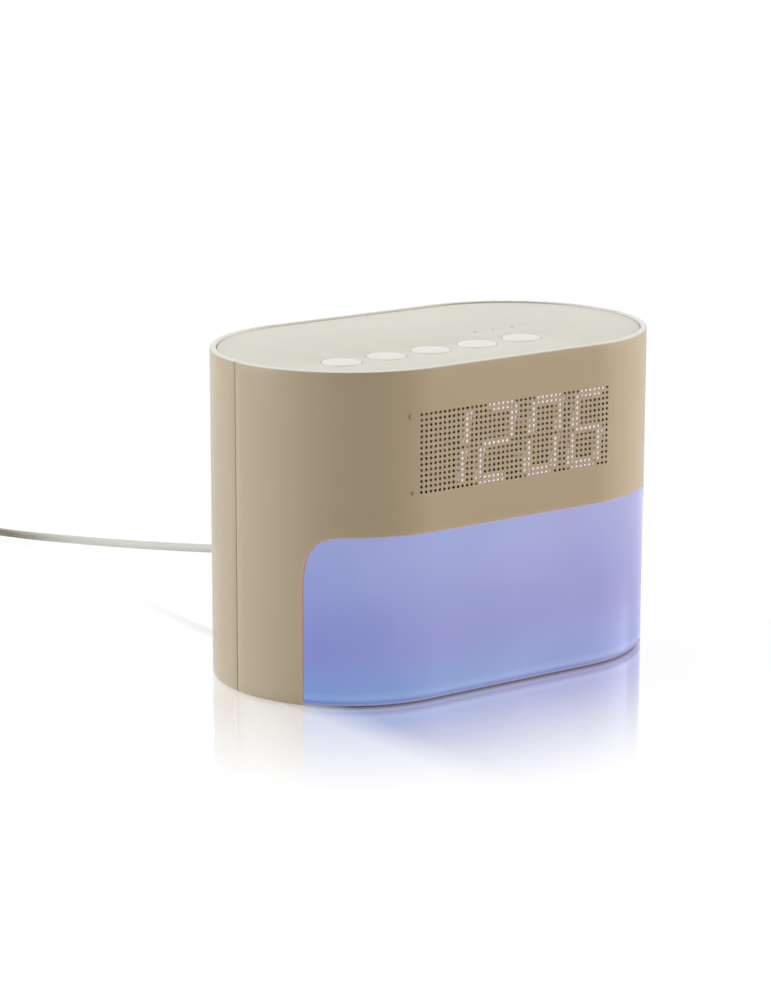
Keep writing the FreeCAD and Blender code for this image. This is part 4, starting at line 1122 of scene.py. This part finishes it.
class Look:
    """A material's node tree, with short ways to add what most surfaces here need."""

    def __init__(self, name, roughness=0.5, **sockets):
        self.material = bpy.data.materials.new(name)
        self.material.use_nodes = True
        self.nodes = self.material.node_tree.nodes
        self.links = self.material.node_tree.links
        self.shader = self.nodes["Principled BSDF"]
        self.shader.inputs["Roughness"].default_value = roughness
        for socket, value in sockets.items():
            self.shader.inputs[socket.replace("_", " ")].default_value = value
        self.place = self.node("ShaderNodeTexCoord").outputs["Object"]

    def node(self, kind, **settings):
        node = self.nodes.new(kind)
        for key, value in settings.items():
            setattr(node, key, value)
        return node

    def link(self, output, target):
        self.links.new(output, target)

    def feed(self, value, socket):
        """Sets a socket to a number or colour, or links it to another node's output."""
        if isinstance(value, tuple):
            socket.default_value = (*value, 1)
        elif isinstance(value, (int, float)):
            socket.default_value = value
        else:
            self.link(value, socket)

    def axes(self):
        """The place's three coordinates, in metres."""
        split = self.node("ShaderNodeSeparateXYZ")
        self.link(self.place, split.inputs["Vector"])
        return split.outputs["X"], split.outputs["Y"], split.outputs["Z"]

    def noise(self, size, detail=3.0, stretch=(1, 1, 1)):
        """Noise whose features are about a size in millimetres."""
        mapping = self.node("ShaderNodeMapping")
        mapping.inputs["Scale"].default_value = stretch
        self.link(self.place, mapping.inputs["Vector"])
        noise = self.node("ShaderNodeTexNoise")
        noise.inputs["Scale"].default_value = 1 / (size * MM)
        noise.inputs["Detail"].default_value = detail
        self.link(mapping.outputs["Vector"], noise.inputs["Vector"])
        return noise.outputs["Fac"]

    def ramp(self, value, stops):
        ramp = self.node("ShaderNodeValToRGB")
        points = ramp.color_ramp.elements
        while len(points) < len(stops):
            points.new(0.5)
        for point, (position, colour) in zip(points, stops):
            point.position = position
            point.color = (*colour, 1)
        self.link(value, ramp.inputs["Fac"])
        return ramp.outputs["Color"]

    def span(self, value, low, high, to_low=0.0, to_high=1.0, smooth=False):
        node = self.node("ShaderNodeMapRange")
        if smooth:
            node.interpolation_type = "SMOOTHSTEP"
        ends = {"From Min": low, "From Max": high, "To Min": to_low, "To Max": to_high}
        for name, end in ends.items():
            node.inputs[name].default_value = end
        self.link(value, node.inputs["Value"])
        return node.outputs["Result"]

    def maths(self, operation, a, b=0):
        node = self.node("ShaderNodeMath", operation=operation)
        self.feed(a, node.inputs[0])
        self.feed(b, node.inputs[1])
        return node.outputs["Value"]

    def mix(self, factor, a, b, blend="MIX"):
        node = self.node("ShaderNodeMix", data_type="RGBA", blend_type=blend)
        for number, value in zip(MIX_INPUTS, (factor, a, b)):
            self.feed(value, node.inputs[number])
        return node.outputs[MIX_RESULT]

    def bump(self, height, depth):
        """Bump of a real depth in millimetres."""
        bump = self.node("ShaderNodeBump")
        bump.inputs["Strength"].default_value = 1.0
        bump.inputs["Distance"].default_value = depth * MM
        self.link(height, bump.inputs["Height"])
        self.link(bump.outputs["Normal"], self.shader.inputs["Normal"])

    def colour(self, output):
        self.link(output, self.shader.inputs["Base Color"])

    def rough(self, output):
        self.link(output, self.shader.inputs["Roughness"])

    def glow(self, output, strength=1.0):
        self.link(output, self.shader.inputs["Emission Color"])
        self.shader.inputs["Emission Strength"].default_value = strength


def srgb(*colour):
    """Linear colour from the numbers a picture shows."""
    return tuple(((c / 255 + 0.055) / 1.055) ** 2.4 for c in colour)


def shade(colour, factor):
    return tuple(min(c * factor, 1) for c in colour)


def moulded(name, colour, roughness=0.42, grain=0.35, depth=0.006, variety=0.03, **sockets):
    """Moulded plastic: a fine spark-eroded grain, faint flow marks and slight gloss changes."""
    look = Look(name, roughness, **sockets)
    drift = look.noise(26, 2)
    fine = look.noise(grain, 4)
    look.tone = look.ramp(drift, ((0.3, shade(colour, 1 - variety)), (0.7, shade(colour, 1 + variety))))
    look.colour(look.tone)
    look.rough(look.span(look.noise(9, 3), 0.3, 0.7, roughness - 0.04, roughness + 0.05))
    look.bump(fine, depth)
    return look


def plain_board(name, colour, roughness=0.35):
    """Solder mask with faint tracks under it."""
    look = Look(name, roughness)
    tracks = look.node("ShaderNodeTexBrick")
    tracks.inputs["Scale"].default_value = 260
    look.link(look.place, tracks.inputs["Vector"])
    look.colour(look.mix(look.noise(3, 2), shade(colour, 0.8), shade(colour, 1.3)))
    look.bump(tracks.outputs["Fac"], 0.02)
    return look


def metal(name, colour, roughness, stretch=(1, 1, 1), size=0.4):
    look = Look(name, roughness, Metallic=1.0)
    marks = look.noise(size, 4, stretch)
    look.colour(look.mix(marks, shade(colour, 0.9), shade(colour, 1.08)))
    look.rough(look.span(marks, 0.3, 0.7, roughness - 0.08, roughness + 0.08))
    look.bump(marks, 0.003)
    return look


# The shell's cream plastic darkened to beige: painted shade on its walls. The panel's cream is also painted
# on the shell's rim top as painted light.
SHELL_SHADED_COLOUR = srgb(184, 161, 126)
PANEL_AND_LIT_RIM_COLOUR = srgb(216, 209, 194)
BUTTON_COLOUR = srgb(233, 228, 218)
# Lamplight inside the shell's plastic, from far from the window's edge to close by
SPILL_STOPS = (
    (0.0, (0, 0, 0)),
    (0.35, (0.006, 0.002, 0.0)),
    (0.85, (0.05, 0.018, 0.004)),
    (1.0, (0.2, 0.085, 0.03)),
)
# The diffuser's light from left to right, over the width in metres, high, halfway and low
LAMP_ACROSS = (-0.078, 0.085)
LAMP_UPPER = ((0.0, srgb(143, 153, 202)), (0.45, srgb(158, 165, 208)), (1.0, srgb(163, 166, 206)))
LAMP_MIDDLE = ((0.0, srgb(121, 131, 191)), (0.4, srgb(140, 145, 196)), (1.0, srgb(149, 150, 200)))
LAMP_LOWER = ((0.0, srgb(114, 145, 199)), (0.35, srgb(130, 155, 202)), (1.0, srgb(136, 146, 198)))
LAMP_CLOUD = srgb(176, 176, 224)
LAMP_STRENGTH = 0.93
# Its moulded lower edge, with painted highlights along its rounded foot and a painted dark line of shade at
# the bottom where it meets the floor: what each height keeps of the light, LAMP_LIP_PLAIN being all of it
LAMP_LIP_HEIGHT = 6.0
LAMP_LIP_PLAIN = 0.8
LAMP_LIP_HIGHLIGHT_AND_SHADE_STOPS = (
    (0.07, (0.16, 0.17, 0.2)),
    (0.13, (0.72, 0.58, 0.56)),
    (0.21, (0.86, 0.70, 0.74)),
    (0.30, (0.64, 0.52, 0.63)),
    (0.42, (0.74, 0.68, 0.71)),
    (0.58, (0.97, 0.95, 0.85)),
    (1.0, (LAMP_LIP_PLAIN, LAMP_LIP_PLAIN, LAMP_LIP_PLAIN)),
)


def footprint_distance(look):
    """How far a point is from the housing's outline in plan."""
    x, y, _ = look.axes()
    past_end = look.maths("SUBTRACT", look.maths("ABSOLUTE", x), END_CENTRE * MM)
    beside = look.maths("POWER", look.maths("MAXIMUM", past_end, 0), 2)
    squares = look.maths("ADD", beside, look.maths("POWER", look.maths("ABSOLUTE", y), 2))
    return look.maths("SUBTRACT", look.maths("SQRT", squares), END_RADIUS * MM)


def shell_look():
    """Cream plastic darkened to beige as painted shade, its rim top painted in the paler panel colour as
    painted light, and lamplight in it round the window.
    """
    gloss = {"Specular_IOR_Level": 0.45, "Coat_Weight": 0.3, "Coat_Roughness": 0.4}
    sheen = {"Sheen_Weight": 0.5, "Sheen_Roughness": 0.35}
    look = moulded("shell_plastic_shaded_beige", SHELL_SHADED_COLOUR, 0.4, 0.3, 0.006, 0.012, **gloss, **sheen)
    z = look.axes()[2]
    crown_low, crown_high = HEIGHT - RIM_ROUND, HEIGHT - RIM_ROUND / 4
    lit_crown_mask = look.span(z, crown_low * MM, crown_high * MM, smooth=True)
    inside = look.span(footprint_distance(look), -RIM_ROUND * MM, -2 * RIM_ROUND * MM)
    above = look.span(z, (PANEL_TOP - 0.5) * MM, (PANEL_TOP - 0.3) * MM)
    # Painted light: the rim's top and its inner face above the panel take the paler panel colour.
    rim = look.maths("MAXIMUM", lit_crown_mask, look.maths("MULTIPLY", inside, above))
    look.colour(look.mix(rim, look.tone, PANEL_AND_LIT_RIM_COLOUR))
    spill = look.node("ShaderNodeAttribute", attribute_name="spill")
    look.glow(look.ramp(spill.outputs["Fac"], SPILL_STOPS))
    return look


def lamp_look():
    """Lit diffuser: blue low on the left, violet above and towards the right."""
    gloss = {"Specular_IOR_Level": 0.12, "Coat_Weight": 0.06, "Coat_Roughness": 0.12}
    look = Look("lamp_diffuser_lit", 0.3, **gloss)
    x, _, z = look.axes()
    across = look.span(x, *LAMP_ACROSS)
    upper, middle, lower = (look.ramp(across, stops) for stops in (LAMP_UPPER, LAMP_MIDDLE, LAMP_LOWER))
    body = look.mix(look.span(z, 0.02, 0.062, smooth=True), middle, upper)
    body = look.mix(look.span(z, 0.024, 0.002, smooth=True), body, lower)
    cloud = look.noise(30, 1)
    body = look.mix(look.span(cloud, 0.35, 0.65, 0.0, 0.1), body, LAMP_CLOUD)
    # The foot's bands, partly its moulding and partly painted highlight and painted shade, dim or lift the
    # light low down.
    lip = look.ramp(look.span(z, 0, LAMP_LIP_HEIGHT * MM), LAMP_LIP_HIGHLIGHT_AND_SHADE_STOPS)
    look.glow(look.mix(1.0, body, lip, "MULTIPLY"), LAMP_STRENGTH / LAMP_LIP_PLAIN)
    look.colour(look.mix(cloud, (0.05, 0.05, 0.10), (0.07, 0.06, 0.12)))
    look.bump(look.noise(0.25, 3), 0.002)
    return look


def segment_look():
    look = Look("lit_segment_white", 0.4)
    look.glow(look.mix(look.noise(4, 2), (0.62, 0.57, 0.68), (0.80, 0.75, 0.86)))
    look.colour(look.mix(look.noise(2, 2), (0.5, 0.48, 0.52), (0.6, 0.58, 0.62)))
    return look


def halo_look():
    """Light that strays into the guides' frosted edge and fades behind it."""
    look = Look("stray_light_violet", 0.5)
    depth = look.span(look.axes()[1], (HALO_FRONT + HALO_REACH) * MM, HALO_FRONT * MM)
    stray = look.mix(look.noise(2.5, 2), (0.13, 0.105, 0.12), (0.24, 0.20, 0.23))
    look.glow(look.mix(depth, (0.01, 0.008, 0.009), stray))
    look.colour(look.mix(look.noise(2, 2), (0.3, 0.28, 0.3), (0.36, 0.34, 0.36)))
    return look


def module_look():
    """Dark smoked face that shows through the perforations."""
    look = Look("display_module_face", 0.3)
    look.colour(look.mix(look.noise(3, 2), (0.19, 0.125, 0.075), (0.25, 0.17, 0.105)))
    look.bump(look.noise(0.5, 2), 0.01)
    return look


def strap_look():
    """Looped pile of a soft strap."""
    look = Look("strap_pile_black", 0.9, Sheen_Weight=0.3)
    cells = look.node("ShaderNodeTexVoronoi")
    cells.inputs["Scale"].default_value = 1800
    look.link(look.place, cells.inputs["Vector"])
    pile = cells.outputs["Distance"]
    look.colour(look.ramp(pile, ((0.0, (0.02, 0.02, 0.02)), (0.6, (0.07, 0.07, 0.07)))))
    look.bump(pile, 0.25)
    return look


def ink_look():
    look = Look("mark_ink_grey", 0.55)
    look.colour(look.mix(look.noise(0.6, 3), srgb(112, 100, 82), srgb(128, 114, 94)))
    return look


SATIN = {"Specular_IOR_Level": 0.4}
CREAM = ("panel_plastic_cream", PANEL_AND_LIT_RIM_COLOUR, 0.45, 0.28, 0.007, 0.012)
WHITE = ("button_plastic_white", BUTTON_COLOUR, 0.4, 0.22, 0.005, 0.01)
GREY = ("cord_plastic_grey", srgb(207, 200, 184), 0.42, 0.5, 0.006, 0.02)
LOOKS = {
    "panel_plastic": moulded(*CREAM, **SATIN),
    "button_plastic": moulded(*WHITE, **SATIN),
    "reflector_plastic": moulded("reflector_white", (0.85, 0.85, 0.84), 0.5),
    "base_plastic": moulded("base_plastic_beige", srgb(158, 143, 118), 0.5, 0.5, 0.012),
    "foot_rubber": moulded("foot_rubber_grey", (0.06, 0.058, 0.052), 0.75, 0.6, 0.02, 0.08),
    "screw_steel": metal("screw_steel_zinc", (0.58, 0.58, 0.6), 0.35),
    "circuit_board": plain_board("circuit_board_green", (0.02, 0.1, 0.05)),
    "led_package": moulded("led_package_resin", (0.85, 0.83, 0.7), 0.25, 0.5, 0.004),
    "black_plastic": moulded("black_plastic_baffle", (0.022, 0.02, 0.018), 0.5, 0.4, 0.01, 0.08),
    "foam": moulded("foam_black", (0.02, 0.02, 0.02), 0.9, 0.5, 0.08, 0.15),
    "clear_plastic": moulded("pin_smoked", (0.035, 0.028, 0.02), 0.15, 0.5, 0.002, 0.05),
    "component_plastic": moulded("component_black", (0.03, 0.03, 0.033), 0.4, 0.5, 0.01, 0.1),
    "speaker_steel": metal("speaker_steel_black", (0.05, 0.05, 0.055), 0.45),
    "magnet": moulded("magnet_ferrite", (0.05, 0.05, 0.052), 0.6, 1.2, 0.03, 0.15),
    "cone_paper": moulded("cone_paper_coated", (0.03, 0.03, 0.03), 0.8, 0.8, 0.05, 0.12),
    "cord_plastic": moulded(*GREY, **SATIN),
    "plug_metal": metal("plug_metal_nickel", (0.66, 0.66, 0.67), 0.25, (1, 12, 1), 1.5),
    "shell_plastic": shell_look(),
    "lamp_plastic": lamp_look(),
    "lit_segment": segment_look(),
    "halo": halo_look(),
    "strap": strap_look(),
    "ink": ink_look(),
    "display_face": module_look(),
}


def paint(obj, look):
    obj.data.materials.clear()
    obj.data.materials.append(LOOKS[look].material)


def dress(obj, look, *replaced, body="housing", slot=None):
    paint(obj, look)
    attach(obj, body)
    if replaced:
        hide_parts(*replaced)
    return obj


# Put the pieces together

for row in frame["record"]["subparts"]:
    paint(frame["nodes"][row["node"]], row["material_slot"])
paint(frame["nodes"]["display_module"], "display_face")

dress(build_front_shell(), "shell_plastic", "front_shell")
dress(build_front_ledge(), "shell_plastic", "front_shell")
dress(build_rear_shell(), "shell_plastic", "rear_shell")
dress(build_rear_lips(), "shell_plastic", "rear_shell")
dress(build_lamp(), "lamp_plastic", "lamp_diffuser")
dress(build_top_panel(), "panel_plastic", "top_panel")
for number in range(len(BUTTON_XS)):
    label = f"button_{number + 1}"
    dress(build_button(number), "button_plastic", label, body=f"push_{label}")
dress(build_pins(), "clear_plastic", "light_pipes")
dress(build_relief(), "cord_plastic", "strain_relief")

lit = lit_outlines(True)
dress(build_strokes("lit_strokes", lit), "lit_segment", "display_segments")
halos = [grown(outline, HALO_GROWTH) for outline in lit]
halos += [colon_dot(-COLON_RISE), colon_dot(COLON_RISE)]
halo_strokes = build_strokes("stroke_halos", halos, HALO_FRONT)
dress(halo_strokes, "halo", "display_segments", slot="lit_segment")
dark_strokes = build_strokes("dark_strokes", lit_outlines(False), MODULE_FRONT - DARK_PROUD)
dress(dark_strokes, "display_face", "display_segments", slot="lit_segment")
dress(build_mark("night_mark", [moon_outline(*MOON)]), "ink", slot="shell_plastic")
dress(build_mark("bell_mark", bell_outlines(*BELL)), "ink", slot="shell_plastic")

lead = dress(build_lead(), "cord_plastic", "power_cord", "power_cord_coil")
grip = dress(build_grip(), "cord_plastic", "usb_plug_body")
tie = dress(build_strap(), "strap", "cord_tie")
round(lead_length(lead), 3)


# Stage

FLOOR_HALF = 6000.0
# The floor as the light on the object meets it, and the part of it that the camera sees as lit
FLOOR_PLAIN = 0.9
FLOOR_LIT = 0.15
# Its gloss for the camera, strongest close to the object and made up to white by plain light elsewhere
FLOOR_GLOSS = 0.9
FLOOR_TINT = (0.92, 0.96, 1.0)
FLOOR_GLOSS_REACH = 0.12
FLOOR_ROUGHNESS = 0.05
# How the gloss changes beside the lamp, behind the object and in steep views: from, to and values there
GLOSS_SIDEWAYS = (-0.085, -0.066, 0.5, 1.0)
GLOSS_BEHIND = (0, 0.05, 1.0, 0.35)
GLOSS_GRAZING = (0.25, 0.7, 0.3, 1.0)

# Name, direction it comes from, angular size in degrees, power, colour
SUNS = (
    ("sun_top", (0.05, 0.7, 1.0), 60, 1.25, (0.97, 1.0, 0.98)),
    ("sun_left", (-1.0, 0.45, 0.45), 50, 2.6, (0.77, 0.87, 1.0)),
    ("sun_right", (1.0, -0.5, 0.4), 50, 2.8, (1.0, 0.99, 0.965)),
)
WORLD_STRENGTH = 0.02

# Camera angles in degrees, lens in millimetres, places in metres
CAMERA_AZIMUTH = -35.82
CAMERA_ELEVATION = 13.50
CAMERA_ROLL = 0.088
CAMERA_LENS = 118.15
CAMERA_DISTANCE = 1.255
CAMERA_SIDEWAYS = -0.0174
CAMERA_AIM_HEIGHT = 0.0605


def seen_rays(tree):
    """1 for rays that come from the camera, or through gloss or glass."""
    paths = tree.nodes.new("ShaderNodeLightPath")
    seen = paths.outputs["Is Camera Ray"]
    for kind in ("Is Glossy Ray", "Is Transmission Ray"):
        either = tree.nodes.new("ShaderNodeMath")
        either.operation = "MAXIMUM"
        tree.links.new(seen, either.inputs[0])
        tree.links.new(paths.outputs[kind], either.inputs[1])
        seen = either.outputs["Value"]
    return seen


def floor_gloss_share(look):
    """Where the floor is glossy: 1 close in front of the object and 0 away from it."""
    x, y, _ = look.axes()
    near = look.span(footprint_distance(look), 0, FLOOR_GLOSS_REACH, 1, 0, smooth=True)
    near = look.maths("MULTIPLY", near, look.span(x, *GLOSS_SIDEWAYS))
    near = look.maths("MULTIPLY", near, look.span(y, *GLOSS_BEHIND))
    facing = look.node("ShaderNodeLayerWeight").outputs["Facing"]
    return look.maths("MULTIPLY", near, look.span(facing, *GLOSS_GRAZING))


def floor_material():
    look = Look("stage_floor")
    look.nodes.remove(look.shader)
    near = floor_gloss_share(look)
    mirror = tuple(FLOOR_GLOSS * c for c in FLOOR_TINT)
    rest = tuple(FLOOR_GLOSS - c for c in mirror)

    def shader(kind, colour):
        node = look.node(kind)
        look.feed(colour, node.inputs["Color"])
        return node

    def pair(kind, first, second):
        node = look.node(kind)
        look.link(first.outputs[0], node.inputs[-2])
        look.link(second.outputs[0], node.inputs[-1])
        return node

    plain = shader("ShaderNodeBsdfDiffuse", (FLOOR_PLAIN,) * 3)
    lit = shader("ShaderNodeBsdfDiffuse", (FLOOR_LIT,) * 3)
    lift = shader("ShaderNodeEmission", look.mix(near, (FLOOR_GLOSS,) * 3, rest))
    gloss = shader("ShaderNodeBsdfAnisotropic", look.mix(near, (0, 0, 0), mirror))
    gloss.inputs["Roughness"].default_value = FLOOR_ROUGHNESS
    seen = pair("ShaderNodeAddShader", pair("ShaderNodeAddShader", lit, lift), gloss)
    surface = pair("ShaderNodeMixShader", plain, seen)
    look.link(seen_rays(look.material.node_tree), surface.inputs["Fac"])
    look.link(surface.outputs["Shader"], look.nodes["Material Output"].inputs["Surface"])
    return look.material


def build_floor():
    corners = [(a * FLOOR_HALF, b * FLOOR_HALF, 0) for a, b in ((-1, -1), (1, -1), (1, 1), (-1, 1))]
    floor = add_mesh("floor", corners, [[0, 1, 2, 3]])
    floor.data.materials.append(floor_material())


def build_world():
    """White where it is seen, and otherwise a faint fill light."""
    world = bpy.data.worlds.new("studio")
    world.use_nodes = True
    bpy.context.scene.world = world
    tree = world.node_tree
    tree.nodes.clear()
    mix = tree.nodes.new("ShaderNodeMixShader")
    tree.links.new(seen_rays(tree), mix.inputs["Fac"])
    for number, strength in ((1, WORLD_STRENGTH), (2, 1.0)):
        sky = tree.nodes.new("ShaderNodeBackground")
        sky.inputs["Color"].default_value = (1, 1, 1, 1)
        sky.inputs["Strength"].default_value = strength
        tree.links.new(sky.outputs["Background"], mix.inputs[number])
    out = tree.nodes.new("ShaderNodeOutputWorld")
    tree.links.new(mix.outputs["Shader"], out.inputs["Surface"])


def add_sun(name, direction, angle, power, colour):
    """Soft light from far away, so that the floor is lit evenly."""
    data = bpy.data.lights.new(name, "SUN")
    data.angle = math.radians(angle)
    data.energy = power
    data.color = colour
    light = add_object(name, data)
    light.rotation_euler = (-Vector(direction)).to_track_quat("-Z", "Y").to_euler()


def build_camera():
    """The photograph's view, measured from the housing's outline."""
    data = bpy.data.cameras.new("camera")
    data.lens = CAMERA_LENS
    camera = add_object("camera", data)
    az, el = math.radians(CAMERA_AZIMUTH), math.radians(CAMERA_ELEVATION)
    side = CAMERA_SIDEWAYS * Vector((math.cos(az), math.sin(az), 0))
    back = Vector((math.sin(az) * math.cos(el), -math.cos(az) * math.cos(el), math.sin(el)))
    place = side + Vector((0, 0, CAMERA_AIM_HEIGHT)) + back * CAMERA_DISTANCE
    turn = (-back).to_track_quat("-Z", "Y").to_matrix().to_4x4()
    turn.translation = place
    camera.matrix_world = turn
    camera.rotation_euler.rotate_axis("Z", math.radians(CAMERA_ROLL))
    bpy.context.scene.camera = camera


build_floor()
build_world()
build_camera()
for row in SUNS:
    add_sun(*row)

bpy.context.scene.view_settings.view_transform = "Standard"
